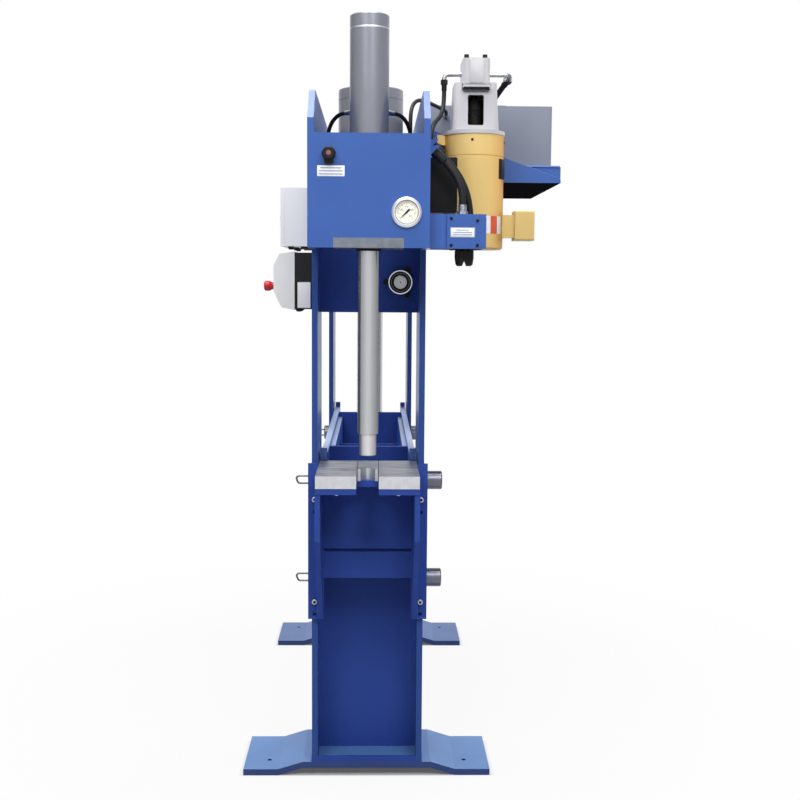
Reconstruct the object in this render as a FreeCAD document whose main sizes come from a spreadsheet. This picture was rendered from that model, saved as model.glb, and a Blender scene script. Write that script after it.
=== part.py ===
import FreeCAD, Part
import math
import os
import re
import Sketcher
from FreeCAD import Placement, Rotation, Vector

# Electric-hydraulic workshop press: a portal frame of two profiled plates, a bed that hangs on pins between them, a
# large cylinder in the head, and a second, smaller press on the head's overhanging nose with its own table.
#
# Millimetres. Origin on the floor, at the centre of the four anchor holes, under the large ram. +Z is up, +Y runs along
# the frame away from the small press, -X is the operator's side and +X carries the motor, pump and tank.

SIZES = {
    # portal frame
    "side_gap": 310.0,  # clear width between the two frame plates
    "plate_thick": 18.0,
    "daylight": 1050.0,  # clear length between the uprights
    "upright_depth": 268.0,
    "head_bottom": 1652.0,
    "head_top": 2103.0,
    "nose_reach": 1027.0,  # from the large ram's axis to the end of the nose
    "nose_run": 102.0,
    "nose_rise": 91.0,
    "web_thick": 16.0,
    "upper_web_bottom": 1460.0,
    "upper_web_top": 1985.0,
    "lower_web_top": 724.0,
    "kick_bar_rise": 18.0,
    "kick_bar_thick": 10.0,
    # feet
    "foot_length": 780.0,
    "foot_pad": 110.0,
    "foot_slope": 77.0,
    "foot_thick": 20.0,
    "foot_lift": 24.0,
    "foot_bend": 12.0,
    "anchor_across": 626.0,
    "anchor_inset": 73.0,
    "anchor_bore": 14.0,
    # bed pins and their holes
    "pin_size": 60.0,
    "pin_play": 0.6,
    "pin_inset": 65.0,  # from an upright's inner edge to the pins' axis
    "pin_pitch": 108.0,
    "pin_holes": 7.0,
    "lowest_pin_hole": 373.0,
    "pin_head": 12.0,  # length left outside the plate at the handle
    "pin_tail": 67.0,  # length left outside the plate at the far side
    "far_pin_drawn": 10.0,  # the far pins stand this much further out towards the operator
    "handle_wire": 6.0,
    "handle_reach": 53.0,
    "handle_rise": 24.0,
    "upper_pin_row": 5.0,
    "lower_pin_row": 2.0,
    # bed
    "bed_top": 1015.0,
    "bed_height": 240.0,
    "bed_plate": 20.0,
    "bed_play": 5.0,
    "bed_tail": 175.0,  # the side plates run this far past the uprights' inner edges
    "doubler_thick": 15.0,
    "doubler_inset": 35.0,  # the doublers and the end cross plates stop short of those edges
    "doubler_drop": 22.0,
    "cross_plate": 20.0,
    "cross_plate_inset": 25.0,
    "cross_plate_drop": 4.0,
    "middle_plate_place": 160.0,
    "middle_plate_drop": 90.0,
    "stop_size": 18.0,
    # large cylinder and ram
    "main_bore": 200.0,
    "main_wall": 18.0,
    "main_bottom": 1500.0,
    "main_top": 2248.0,
    "main_end_wall": 40.0,
    "main_seat_thick": 40.0,
    "main_seat_length": 380.0,
    "main_collar": 20.0,
    "main_collar_height": 30.0,
    "main_gland_flange": 28.0,
    "main_gland_depth": 58.0,
    "main_rod": 95.0,
    "main_neck": 70.0,
    "main_piston_height": 62.0,
    "main_nose": 1068.0,
    # small cylinder and ram
    "flange_size": 200.0,
    "flange_thick": 28.0,
    "side_seat_thick": 30.0,
    "side_bore": 90.0,
    "side_wall": 11.5,
    "side_top": 2311.0,
    "side_end_wall": 37.0,
    "side_rod": 61.0,
    "side_piston_height": 52.0,
    "side_tip": 50.0,
    "side_tip_length": 62.0,
    "side_nose": 1046.0,
    "tip_spigot": 30.0,
    "tip_spigot_length": 30.0,
    "cap_line": 37.0,  # from a barrel's top down to its turned line
    "cap_line_width": 3.0,
    "cap_line_depth": 1.5,
    "barrel_chamfer": 3.0,
    "wiper_height": 7.0,
    "wiper_wall": 6.0,
    "wiper_recess": 5.0,
    # running and standing clearances, on the radius unless a name says otherwise
    "running": 0.05,
    "piston_play": 0.1,
    "loose": 0.3,
    # head end plate
    "end_plate_thick": 12.0,
    "end_plate_top": 1971.0,
    # side table
    "table_top": 995.0,
    "table_front": 1010.0,
    "table_rear": 712.0,
    "block_thick": 37.0,
    "table_slot": 66.0,
    "block_play": 3.0,
    "support_thick": 18.0,
    "centre_block_front": 874.0,
    "centre_block_play": 2.0,
    "centre_scoop": 22.0,
    "strip_thick": 12.0,
    "strip_lap": 20.0,  # from the frame plates' inner faces in, and from their outer faces out
    "strip_wing": 11.0,
    "strip_bottom": 511.0,
    "strip_top": 1000.0,
    "gusset_inset": 17.0,
    "gusset_thick": 16.0,
    "gusset_front": 1005.0,
    "gusset_straight": 801.0,
    "back_plate_bottom": 735.0,
    "tie_plate_bottom": 641.0,
    "tie_plate_thick": 8.0,
    "screw_size": 10.0,
    "screw_length": 40.0,
    "screw_play": 0.4,
    "upper_screw": 889.0,
    "lower_screw": 567.0,
    "spare_screw_drop": 40.0,
    "support_screw_length": 32.0,
    "support_screw_place": 92.0,
    "support_screw_inset": 50.0,
    # pressure gauge
    "gauge_inset": 48.0,
    "gauge_up": 1752.0,
    "gauge_flange": 85.0,
    "gauge_case": 62.0,
    "gauge_case_depth": 30.0,
    "gauge_window": 66.0,
    "gauge_flange_thick": 6.0,
    "gauge_rim_height": 11.0,
    "gauge_rim_land": 4.0,
    "dial_depth": 3.0,
    "dial_thick": 1.0,
    "glass_depth": 8.5,
    "glass_thick": 1.5,
    "spindle": 4.0,
    "pointer_length": 25.0,
    "pointer_tail": 12.0,
    "pointer_zero": 225.0,
    # pressure regulator
    "regulator_inset": 43.0,
    "regulator_up": 1913.0,
    "regulator_knob": 34.0,
    "regulator_knob_length": 25.0,
    "regulator_stem": 10.0,
    "regulator_collar": 24.0,
    "regulator_block": 44.0,
    "regulator_block_depth": 46.0,
    # flange bearing in the upper web
    "bearing_inset": 57.0,
    "bearing_up": 1555.0,
    "bearing_ring": 70.0,
    "bearing_groove": 58.0,
    "bearing_shaft": 42.0,
    "bearing_flange_thick": 9.0,
    "bearing_ring_height": 7.0,
    "bearing_lug_circle": 90.0,
    "bearing_lug": 18.0,
    "bearing_shaft_length": 62.0,
    "bearing_shaft_tail": 46.0,
    # control valve beside the nose
    "valve_length": 162.0,
    "valve_front": 992.0,
    "valve_rear": 862.0,
    "valve_height": 98.0,
    "valve_wall": 5.0,
    "valve_cover_gap": 50.0,
    "valve_cover_thick": 8.0,
    "valve_corner": 14.0,
    "valve_body_gap": 67.0,
    "valve_body_length": 76.0,
    "valve_body_drop": 2.0,
    "valve_port_inset": 30.0,
    "valve_port_place": 950.0,
    "rear_port_inset": 61.0,
    "rear_port_place": 840.0,
    "rear_block_size": 40.0,
    "rear_block_top": 1700.0,
    "selector_inset": 38.0,
    "selector_place": 930.0,
    "selector_stem": 12.0,
    "selector_size": 56.0,
    "selector_foot": 50.0,
    "selector_height": 46.0,
    "selector_gap": 0.5,
    "selector_notch": 16.0,
    "selector_flutes": 8.0,
    "outlet_size": 30.0,
    "outlet_front_place": 945.0,
    "outlet_front_top": 1945.0,
    "outlet_rear_place": 845.0,
    "outlet_rear_top": 1973.0,
    # manifold block
    "manifold_reach": 92.0,
    "manifold_front": 790.0,
    "manifold_rear": 670.0,
    "manifold_bottom": 1765.0,
    "manifold_top": 1930.0,
    # motor
    "motor_rise": 120.0,
    "motor_place": 540.0,
    "motor_size": 195.0,
    "motor_bottom": 1661.0,
    "motor_top": 2022.0,
    "motor_core_bore": 102.0,
    "motor_joint": 67.0,  # from the motor's top down to the joint of its end shield
    "motor_cowl": 62.0,
    "motor_wall": 6.0,
    "motor_standoff": 40.0,
    "motor_foot_width": 110.0,
    "motor_foot_height": 30.0,
    "motor_foot_thick": 16.0,
    "motor_mount_width": 100.0,
    "motor_mount_wall": 6.0,
    "motor_shaft": 28.0,
    "rotor_gap": 0.6,
    "fan_size": 150.0,
    "cowl_slots": 8.0,
    "cowl_slot_width": 8.0,
    "terminal_place": 133.0,
    "terminal_depth": 62.0,
    "terminal_bottom": 1691.0,
    "terminal_top": 1785.0,
    "terminal_width": 100.0,
    "terminal_neck": 62.0,
    # bell housing, coupling and pump
    "bell_height": 160.0,
    "bell_ring": 200.0,
    "bell_ring_thick": 12.0,
    "bell_base": 150.0,
    "bell_crown": 133.0,
    "bell_corner": 16.0,
    "bell_channel": 22.0,  # depth of the channel across the crown, which the pump sits in
    "bell_channel_play": 1.0,
    "bell_shaft_hole": 40.0,
    "bell_wall": 9.0,
    "bell_top_wall": 12.0,
    "bell_window": 50.0,
    "bell_window_height": 94.0,
    "bell_window_sill": 27.0,
    "hub_size": 62.0,
    "hub_height": 30.0,
    "hub_first": 34.0,  # from the motor's top to the lower hub
    "jaw_height": 18.0,
    "jaw_play": 0.5,
    "spider_arm": 12.0,
    "pump_shaft": 20.0,
    "pump_width": 85.0,
    "pump_depth": 130.0,
    "pump_forward": 20.0,  # its middle stands this far in front of its shaft
    "pump_flange_thick": 12.0,
    "pump_height": 94.0,
    "pump_waist": 3.0,
    "pump_chamfer": 8.0,
    "pump_port_rise": 56.0,
    "pump_plug": 14.0,
    # tank and its tray
    "tank_gap": 17.0,
    "tank_length": 432.0,
    "tank_near": 290.0,
    "tank_far": 200.0,
    "tank_bottom": 1890.0,
    "tank_top": 2156.0,
    "tank_wall": 3.0,
    "tank_corner": 6.0,
    "filler_inset": 280.0,
    "filler_place": 40.0,
    "filler_neck": 50.0,
    "filler_neck_height": 14.0,
    "filler_cap": 70.0,
    "filler_cap_height": 34.0,
    "tray_near": 436.0,
    "tray_far": 300.0,
    "tray_play": 10.0,
    "tray_sheet": 5.0,
    "tray_lip": 1938.0,
    "tray_gusset_thick": 6.0,
    "tray_gusset_rise": 180.0,
    "tray_gusset_end": 12.0,
    # electric cabinet
    "cabinet_depth": 142.0,
    "cabinet_bottom": 1678.0,
    "cabinet_top": 1881.0,
    "cabinet_near": 200.0,
    "cabinet_far": 300.0,
    "cabinet_wall": 3.0,
    "door_depth": 15.0,
    "door_play": 0.5,
    "knuckle": 11.0,
    "knuckle_length": 28.0,
    "knuckle_place": 60.0,
    "hinge_pin": 5.0,
    # operator's console
    "console_near": 720.0,
    "console_far": 560.0,
    "console_back_depth": 57.0,
    "console_depth": 65.0,
    "console_bottom": 1467.0,
    "console_top": 1647.0,
    "console_inset": 3.0,
    "estop_up": 1541.0,
    "estop_size": 32.0,
    "estop_neck": 22.0,
    "estop_stand": 36.0,
    "button_up": 1584.0,
    "button_size": 22.0,
    "button_stand": 3.0,
    "button_travel": 5.0,
    # hoses, their fittings and the blocks they meet at
    "thin_hose": 12.0,
    "pump_hose": 14.0,
    "suction_hose": 18.0,
    "valve_hose": 20.0,
    "fitting_length": 34.0,
    "pipe_size": 14.0,
    "thin_pipe": 8.0,
    "barrel_port_up": 2048.0,
    "barrel_boss": 26.0,
    "barrel_boss_height": 8.0,
    "inner_block_reach": 66.0,
    "inner_block_near": 850.0,
    "inner_block_far": 700.0,
    "inner_block_top": 1860.0,
    "inner_block_bottom": 1735.0,
    "left_block_far": 780.0,
    "left_block_top": 1925.0,
    "left_block_bottom": 1880.0,
    "port_inset": 29.0,  # of the ports on the two inner blocks, from the frame plates' inner faces
    "port_place": 800.0,
    "return_place": 725.0,
    "manifold_port_inset": 15.0,
    "elbow_reach": 54.0,
    "suction_elbow_reach": 76.0,
}

# Places that follow from the sizes: what hangs on a frame plate moves with it. All across, from the frame's middle.
PLACES = {
    "plate_outer": "side_gap / 2 + plate_thick",
    "gauge_across": "side_gap / 2 - gauge_inset",
    "regulator_across": "-(side_gap / 2 - regulator_inset)",
    "bearing_across": "side_gap / 2 - bearing_inset",
    "valve_reach": "plate_outer + valve_length",
    "valve_cover_left": "plate_outer + valve_cover_gap",
    "valve_body_left": "plate_outer + valve_body_gap",
    "valve_body_right": "valve_body_left + valve_body_length",
    "valve_port_across": "valve_body_left + valve_port_inset",
    "rear_port_across": "valve_body_left + rear_port_inset",
    "selector_across": "valve_body_left + selector_inset",
    "motor_foot_plane": "plate_outer + motor_standoff",
    "motor_across": "motor_foot_plane + motor_rise",
    "terminal_left": "motor_across + terminal_place",
    "terminal_right": "terminal_left + terminal_depth",
    "tank_left": "plate_outer + tank_gap",
    "tank_right": "tank_left + tank_length",
    "filler_across": "tank_left + filler_inset",
    "tray_right": "tank_right + tray_play",
    "cabinet_reach": "plate_outer + cabinet_depth",
    "console_back_reach": "plate_outer + console_back_depth",
    "console_reach": "console_back_reach + console_depth",
    "port_across": "side_gap / 2 - port_inset",
    "manifold_port_across": "plate_outer + manifold_port_inset",
}

doc = FreeCAD.newDocument("WorkshopPress")
sizes = doc.addObject("Spreadsheet::Sheet", "Sizes")
named = {**SIZES, **{alias: "=" + text for alias, text in PLACES.items()}}
for row, (alias, value) in enumerate(named.items(), start=1):
    sizes.set("A%d" % row, alias)
    sizes.set("B%d" % row, str(value))
    sizes.setAlias("B%d" % row, alias)
doc.recompute()

nodes = []  # the objects that are sub-parts, each exported under its Label

# Places that several sub-parts share, as formulas of the sizes.
FOOT_TOP = "(foot_lift + foot_thick)"
UPRIGHT_OUTER = "(daylight / 2 + upright_depth)"
UPRIGHT_MIDDLE = "(daylight / 2 + upright_depth / 2)"
PIN_PLACE = "(daylight / 2 + pin_inset)"
PLATE_OUTER = "plate_outer"
PLATE_MIDDLE = "(side_gap / 2 + plate_thick / 2)"
BED_END = "(daylight / 2 + bed_tail)"
STRIP_INNER = "(side_gap / 2 - strip_lap)"
SIDE_AXIS = "(nose_reach - flange_size / 2)"
MAIN_OUTER = "(main_bore / 2 + main_wall)"
SIDE_OUTER = "(side_bore / 2 + side_wall)"
FLANGE_TOP = "(head_bottom + flange_thick)"
BLOCK_BOTTOM = "(table_top - block_thick)"
SUPPORT_BOTTOM = "(table_top - block_thick - support_thick)"
PUMP_SEAT = "(motor_top + bell_height - bell_channel)"
TOWARDS_NEAR_END = Rotation(Vector(1, 0, 0), 90)  # turns a body's own Z to -Y, and its Y to +Z
TOWARDS_OPERATOR = Rotation(Vector(0, 1, 0), -90)  # turns a body's own Z to -X, and its X to +Z


# ---------------------------------------------------------------- drawing helpers


def formula(text):
    """The text with each named size looked up in the sheet."""
    return re.sub(r"[a-z_]+", lambda w: "Sizes." + w.group() if w.group() in named else w.group(), str(text))


def number(text):
    """What a formula comes to now."""
    return float(doc.getObject("Sizes").evalExpression(formula(text).replace("Sizes.", "")))


def bind(thing, setting, text):
    thing.setExpression(setting, formula(text))


def place(thing, across="0", along="0", up="0", turn=None):
    if turn is not None:
        thing.Placement = Placement(Vector(), turn)
    for axis, text in zip("xyz", (across, along, up)):
        bind(thing, ".Placement.Base." + axis, text)
    return thing


def origin_feature(body, role):
    return next(feature for feature in body.Origin.OriginFeatures if feature.Role == role)


def new_body(label):
    body = doc.addObject("PartDesign::Body", label)
    body.Label = label
    return body


def sketch(body, plane, outlines=(), circles=(), lift=None):
    """A fully constrained sketch on one of the body's origin planes: polygons and circles, every size a formula."""
    drawn = body.newObject("Sketcher::SketchObject", body.Name + "_sketch")
    drawn.AttachmentSupport = [(origin_feature(body, plane + "_Plane"), "")]
    drawn.MapMode = "FlatFace"
    if lift is not None:
        bind(drawn, ".AttachmentOffset.Base.z", lift)
    for corners in outlines:
        draw_outline(drawn, corners)
    for across, up, diameter in circles:
        draw_circle(drawn, across, up, diameter)
    return drawn


def hold_point(drawn, element, end, across, up):
    for kind, text in (("DistanceX", across), ("DistanceY", up)):
        held = drawn.addConstraint(Sketcher.Constraint(kind, -1, 1, element, end, number(text)))
        drawn.setExpression("Constraints[%d]" % held, formula(text))


def draw_outline(drawn, corners):
    points = [Vector(number(across), number(up), 0) for across, up in corners]
    first = drawn.GeometryCount
    count = len(points)
    for i in range(count):
        drawn.addGeometry(Part.LineSegment(points[i], points[(i + 1) % count]), False)
    for i in range(count):
        drawn.addConstraint(Sketcher.Constraint("Coincident", first + i, 2, first + (i + 1) % count, 1))
    for i, (across, up) in enumerate(corners):
        hold_point(drawn, first + i, 1, across, up)


def draw_circle(drawn, across, up, diameter):
    centre = Vector(number(across), number(up), 0)
    ring = drawn.addGeometry(Part.Circle(centre, Vector(0, 0, 1), number(diameter) / 2), False)
    hold_point(drawn, ring, 3, across, up)
    held = drawn.addConstraint(Sketcher.Constraint("Diameter", ring, number(diameter)))
    drawn.setExpression("Constraints[%d]" % held, formula(diameter))


def rectangle(left, right, bottom, top):
    return [(left, bottom), (right, bottom), (right, top), (left, top)]


def pad(body, profile, length, both_ways=True):
    made = body.newObject("PartDesign::Pad", body.Name + "_pad")
    made.Profile = profile
    made.Midplane = both_ways
    bind(made, "Length", length)
    return made


def pocket(body, profile, depth=None):
    """Cuts right through both ways, or to a depth against the sketch's normal."""
    made = body.newObject("PartDesign::Pocket", body.Name + "_pocket")
    made.Profile = profile
    if depth is None:
        made.Type = "ThroughAll"
        made.Midplane = True
    else:
        bind(made, "Length", depth)
    return made


def revolve(body, profile):
    made = body.newObject("PartDesign::Revolution", body.Name + "_turned")
    made.Profile = profile
    made.ReferenceAxis = (profile, ["V_Axis"])
    made.Angle = 360
    return made


def round_edges(body, radius, chosen, kind="Fillet"):
    """Fillets or chamfers those edges of the body's tip that chosen() picks."""
    doc.recompute()
    tip = body.Tip
    picked = ["Edge%d" % (i + 1) for i, edge in enumerate(tip.Shape.Edges) if chosen(edge)]
    made = body.newObject("PartDesign::" + kind, body.Name + "_" + kind.lower())
    made.Base = (tip, picked)
    bind(made, "Radius" if kind == "Fillet" else "Size", radius)
    return made


def rises(edge):
    """Whether a straight edge goes up, upright or leaning a little."""
    ends = [end.Point.z for end in edge.Vertexes]
    return max(ends) - min(ends) > 0.9 * edge.Length


def runs_along(edge, axis):
    """Whether a straight edge lies along an axis, given as 0, 1 or 2."""
    if edge.Curve.TypeId != "Part::GeomLine":
        return False
    return abs(abs(edge.tangentAt(edge.FirstParameter)[axis]) - 1) < 1e-6


def plate(label, plane, outline, thickness, across="0", along="0", up="0"):
    """A flat plate cut to an outline, centred on its own plane."""
    body = new_body(label)
    pad(body, sketch(body, plane, [outline]), thickness)
    return place(body, across, along, up)


def turned(label, outline, across="0", along="0", up="0", turn=None):
    """A body turned about its own Z from an outline of (radius, height) corners."""
    body = new_body(label)
    revolve(body, sketch(body, "XZ", [outline]))
    return place(body, across, along, up, turn)


def block(label, left, right, near, far, bottom, top):
    """A rectangular block between three pairs of planes."""
    made = doc.addObject("Part::Box", label)
    made.Label = label
    bind(made, "Length", "(%s) - (%s)" % (right, left))
    bind(made, "Width", "(%s) - (%s)" % (far, near))
    bind(made, "Height", "(%s) - (%s)" % (top, bottom))
    return place(made, left, near, bottom)


def bar(label, diameter, length, across, along, up, turn=None):
    """A round bar that starts at a point and runs along its own Z."""
    made = doc.addObject("Part::Cylinder", label)
    made.Label = label
    bind(made, "Radius", "(%s) / 2" % diameter)
    bind(made, "Height", length)
    return place(made, across, along, up, turn)


def joined(label, kind, parts):
    """Several solids as one object: Part::MultiFuse for a weldment or casting, Part::Compound for a loose set."""
    made = doc.addObject(kind, label)
    made.Label = label
    if kind == "Part::MultiFuse":
        made.Shapes = parts
        made.Refine = True
    else:
        made.Links = parts
    return made


def weld(label, parts):
    return joined(label, "Part::MultiFuse", parts)


def collect(label, parts):
    return joined(label, "Part::Compound", parts)


def cut(label, base, tool):
    made = doc.addObject("Part::Cut", label)
    made.Label = label
    made.Base = base
    made.Tool = tool
    return made


def node(thing):
    nodes.append(thing)
    return thing


def mirrored(text):
    return "-(%s)" % text


# ---------------------------------------------------------------- portal frame


def frame_plate(label, side):
    """One portal-shaped plate: two uprights and a head whose nose overhangs at the near end."""
    outer, inner = UPRIGHT_OUTER, "daylight / 2"
    outline = [
        (mirrored(outer), FOOT_TOP),
        (mirrored(inner), FOOT_TOP),
        (mirrored(inner), "head_bottom"),
        (inner, "head_bottom"),
        (inner, FOOT_TOP),
        (outer, FOOT_TOP),
        (outer, "head_top - nose_rise"),
        (outer + " - nose_run", "head_top"),
        ("-(nose_reach - nose_run)", "head_top"),
        ("-nose_reach", "head_top - nose_rise"),
        ("-nose_reach", "head_bottom"),
        (mirrored(outer), "head_bottom"),
    ]
    body = plate(label, "YZ", outline, "plate_thick", across="%s * %s" % (side, PLATE_MIDDLE))
    hole = "pin_size + pin_play"
    lowest = [(along, "lowest_pin_hole", hole) for along in (PIN_PLACE, mirrored(PIN_PLACE))]
    holes = sketch(body, "YZ", circles=lowest)
    first_pair = pocket(body, holes)
    column = body.newObject("PartDesign::LinearPattern", label + "_pin_holes")
    column.Originals = [first_pair]
    column.Direction = (holes, ["V_Axis"])
    bind(column, "Length", "pin_pitch * (pin_holes - 1)")
    bind(column, "Occurrences", "pin_holes")
    body.Tip = column
    screw_hole = "screw_size + screw_play"
    tapped = [("0", "upper_screw", screw_hole), ("0", "lower_screw", screw_hole)]
    pocket(body, sketch(body, "XZ", circles=tapped, lift=UPRIGHT_OUTER), "screw_length")
    return node(body)


def web(label, end, bottom, top):
    """A cross plate between the frame plates, at the middle of an upright's depth."""
    half = "side_gap / 2"
    outline = rectangle(mirrored(half), half, bottom, top)
    return plate(label, "XZ", outline, "web_thick", along="%s * %s" % (end, UPRIGHT_MIDDLE))


def webs(label, end):
    upper = web(label + "_upper", end, "upper_web_bottom", "upper_web_top")
    if end == "-1":
        opening = sketch(upper, "XZ", circles=[("bearing_across", "bearing_up", "bearing_shaft + 6")])
        pocket(upper, opening)
    lower = web(label + "_lower", end, FOOT_TOP, "lower_web_top")
    half = "side_gap / 2"
    kick_bar = plate(
        label + "_kick_bar",
        "XZ",
        rectangle(mirrored(half), half, FOOT_TOP, FOOT_TOP + " + kick_bar_rise"),
        "kick_bar_thick",
        along="%s * (%s - kick_bar_thick / 2)" % (end, UPRIGHT_OUTER),
    )
    return node(collect(label, [upper, lower, kick_bar]))


def foot(label, end):
    """A plate bent so that its middle stands clear of the floor and its two ends lie flat on it."""
    half, flat = "foot_length / 2", "(foot_length / 2 - foot_pad)"
    raised = "(foot_length / 2 - foot_pad - foot_slope)"
    right = [
        (raised, "foot_lift"),
        (flat, "0"),
        (half, "0"),
        (half, "foot_thick"),
        (flat, "foot_thick"),
        (raised, FOOT_TOP),
    ]
    left = [(mirrored(across), up) for across, up in reversed(right)]
    body = plate(label, "XZ", right + left, "upright_depth", along="%s * %s" % (end, UPRIGHT_MIDDLE))
    bends = [number(flat), number(raised)]
    round_edges(
        body,
        "foot_bend",
        lambda edge: runs_along(edge, 1) and min(abs(abs(edge.CenterOfMass.x) - bend) for bend in bends) < 0.01,
    )
    anchors = [
        ("%s * anchor_across / 2" % side, "%s * (%s - anchor_inset)" % (end, UPRIGHT_OUTER), "anchor_bore")
        for side in ("-1", "1")
    ]
    middle = "%s * %s" % (end, UPRIGHT_MIDDLE)
    circles = [(across, "(%s) - (%s)" % (along, middle), size) for across, along, size in anchors]
    pocket(body, sketch(body, "XY", circles=circles))
    return body


def portal_frame():
    frame_plate("frame_plate_front", "-1")
    frame_plate("frame_plate_rear", "1")
    webs("near_webs", "-1")
    webs("far_webs", "1")
    node(collect("feet", [foot("near_foot", "-1"), foot("far_foot", "1")]))


def head_end_plate():
    """The plate that closes the nose, notched over the small cylinder's flange and bored for its instruments."""
    half, notch = "side_gap / 2", "flange_size / 2"
    outline = [
        (mirrored(half), "head_bottom"),
        (mirrored(notch), "head_bottom"),
        (mirrored(notch), FLANGE_TOP),
        (notch, FLANGE_TOP),
        (notch, "head_bottom"),
        (half, "head_bottom"),
        (half, "end_plate_top"),
        (mirrored(half), "end_plate_top"),
    ]
    body = plate("head_end_plate", "XZ", outline, "end_plate_thick", along="-(nose_reach - end_plate_thick / 2)")
    bores = [
        ("gauge_across", "gauge_up", "gauge_case + 2 * loose"),
        ("regulator_across", "regulator_up", "regulator_collar + 2 * loose"),
    ]
    pocket(body, sketch(body, "XZ", circles=bores))
    return node(body)


# ---------------------------------------------------------------- bed and its pins


def bed():
    """Two long side plates with shorter doublers inside, tied by cross plates, and small stops on the ends."""
    plate_face = "(side_gap / 2 - bed_play)"
    bottom = "(bed_top - bed_height)"
    doubler_face = "(side_gap / 2 - bed_play - bed_plate)"
    doubler_end = "(daylight / 2 - doubler_inset)"
    sides = []
    for name, side in (("front", "-1"), ("rear", "1")):
        long_plate = plate(
            "bed_plate_" + name,
            "YZ",
            rectangle(mirrored(BED_END), BED_END, bottom, "bed_top"),
            "bed_plate",
            across="%s * (%s - bed_plate / 2)" % (side, plate_face),
        )
        hole = "pin_size + pin_play"
        row_up = "(lowest_pin_hole + upper_pin_row * pin_pitch)"
        holes = [(PIN_PLACE, row_up, hole), (mirrored(PIN_PLACE), row_up, hole)]
        pocket(long_plate, sketch(long_plate, "YZ", circles=holes))
        doubler = plate(
            "bed_doubler_" + name,
            "YZ",
            rectangle(mirrored(doubler_end), doubler_end, bottom, "bed_top - doubler_drop"),
            "doubler_thick",
            across="%s * (%s - doubler_thick / 2)" % (side, doubler_face),
        )
        inner, outer = "%s * %s" % (side, doubler_face), "%s * %s" % (side, plate_face)
        left, right = (outer, inner) if side == "-1" else (inner, outer)
        stops = [
            block("bed_stop_%s_%s" % (name, end_name), left, right, near, far, "bed_top", "bed_top + stop_size")
            for end_name, near, far in (
                ("near", mirrored(BED_END), mirrored(BED_END) + " + stop_size"),
                ("far", BED_END + " - stop_size", BED_END),
            )
        ]
        sides.append(weld("bed_side_" + name, [long_plate, doubler] + stops))
    node(collect("bed_side_plates", sides))
    half = doubler_face
    inner_half = "(%s - doubler_thick)" % doubler_face
    cross = []
    for name, end in (("near", "-1"), ("far", "1")):
        outline = rectangle(mirrored(half), half, bottom, "bed_top - cross_plate_drop")
        along = "%s * (daylight / 2 - cross_plate_inset)" % end
        cross.append(plate("bed_end_cross_" + name, "XZ", outline, "cross_plate", along=along))
        outline = rectangle(mirrored(inner_half), inner_half, bottom, "bed_top - middle_plate_drop")
        along = "%s * middle_plate_place" % end
        cross.append(plate("bed_middle_cross_" + name, "XZ", outline, "cross_plate", along=along))
    node(collect("bed_cross_plates", cross))


def wire_handle(label):
    """A closed trapezoid of round wire in the X-Z plane, its long side sunk in the pin's end."""
    wire = number("handle_wire")
    reach = number("handle_reach")
    rise = number("handle_rise") / 2
    start = number("pin_head + %s" % PLATE_OUTER)
    corners = [Vector(-start + 8, 0, -rise), Vector(-start - reach + 10, 0, -rise)]
    corners += [Vector(-start - reach, 0, rise), Vector(-start + 8, 0, rise)]
    path, _ = rounded_path(corners, bend=1.4 * wire)
    handle = doc.addObject("Part::Feature", label)
    handle.Shape = swept_tube(path, corners[0], corners[1] - corners[0], wire)
    return handle


def bed_pin(name, end, row_number):
    """A round pin through both frame plates, with a wire loop on the operator's end to draw it by."""
    length = "(2 * %s + pin_head + pin_tail)" % PLATE_OUTER
    drawn = "far_pin_drawn" if end == "1" else "0"
    across = "-(%s + pin_head + %s)" % (PLATE_OUTER, drawn)
    along = "%s * %s" % (end, PIN_PLACE)
    up = "(lowest_pin_hole + %s * pin_pitch)" % row_number
    radius, chamfer = "pin_size / 2", "3"
    outline = [
        ("0", "0"),
        ("%s - %s" % (radius, chamfer), "0"),
        (radius, chamfer),
        (radius, "%s - %s" % (length, chamfer)),
        ("%s - %s" % (radius, chamfer), length),
        ("0", length),
    ]
    shaft = turned("%s_shaft" % name, outline, across, along, up, Rotation(Vector(0, 1, 0), 90))
    handle = place(wire_handle("%s_handle" % name), mirrored(drawn), along, up)
    return node(weld(name, [shaft, handle]))


def bed_pins():
    for end_name, end in (("near", "-1"), ("far", "1")):
        bed_pin("pin_%s_upper" % end_name, end, "upper_pin_row")
        bed_pin("pin_%s_lower" % end_name, end, "lower_pin_row")


# ---------------------------------------------------------------- cylinders


def cylinder_seats():
    """The two thick plates between the frame plates that the cylinders bear on."""
    half = "side_gap / 2"
    main = plate(
        "main_seat",
        "XY",
        rectangle(mirrored(half), half, "-main_seat_length / 2", "main_seat_length / 2"),
        "main_seat_thick",
        up="head_bottom + main_seat_thick / 2",
    )
    pocket(main, sketch(main, "XY", circles=[("0", "0", "2 * (%s + loose)" % MAIN_OUTER)]))
    side = plate(
        "side_seat",
        "XY",
        rectangle(mirrored(half), half, "-flange_size / 2 + end_plate_thick", "flange_size / 2"),
        "side_seat_thick",
        along=mirrored(SIDE_AXIS),
        up="%s + side_seat_thick / 2" % FLANGE_TOP,
    )
    pocket(side, sketch(side, "XY", circles=[("0", "0", "2 * (%s + loose)" % SIDE_OUTER)]))
    return node(collect("cylinder_seats", [main, side]))


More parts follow.
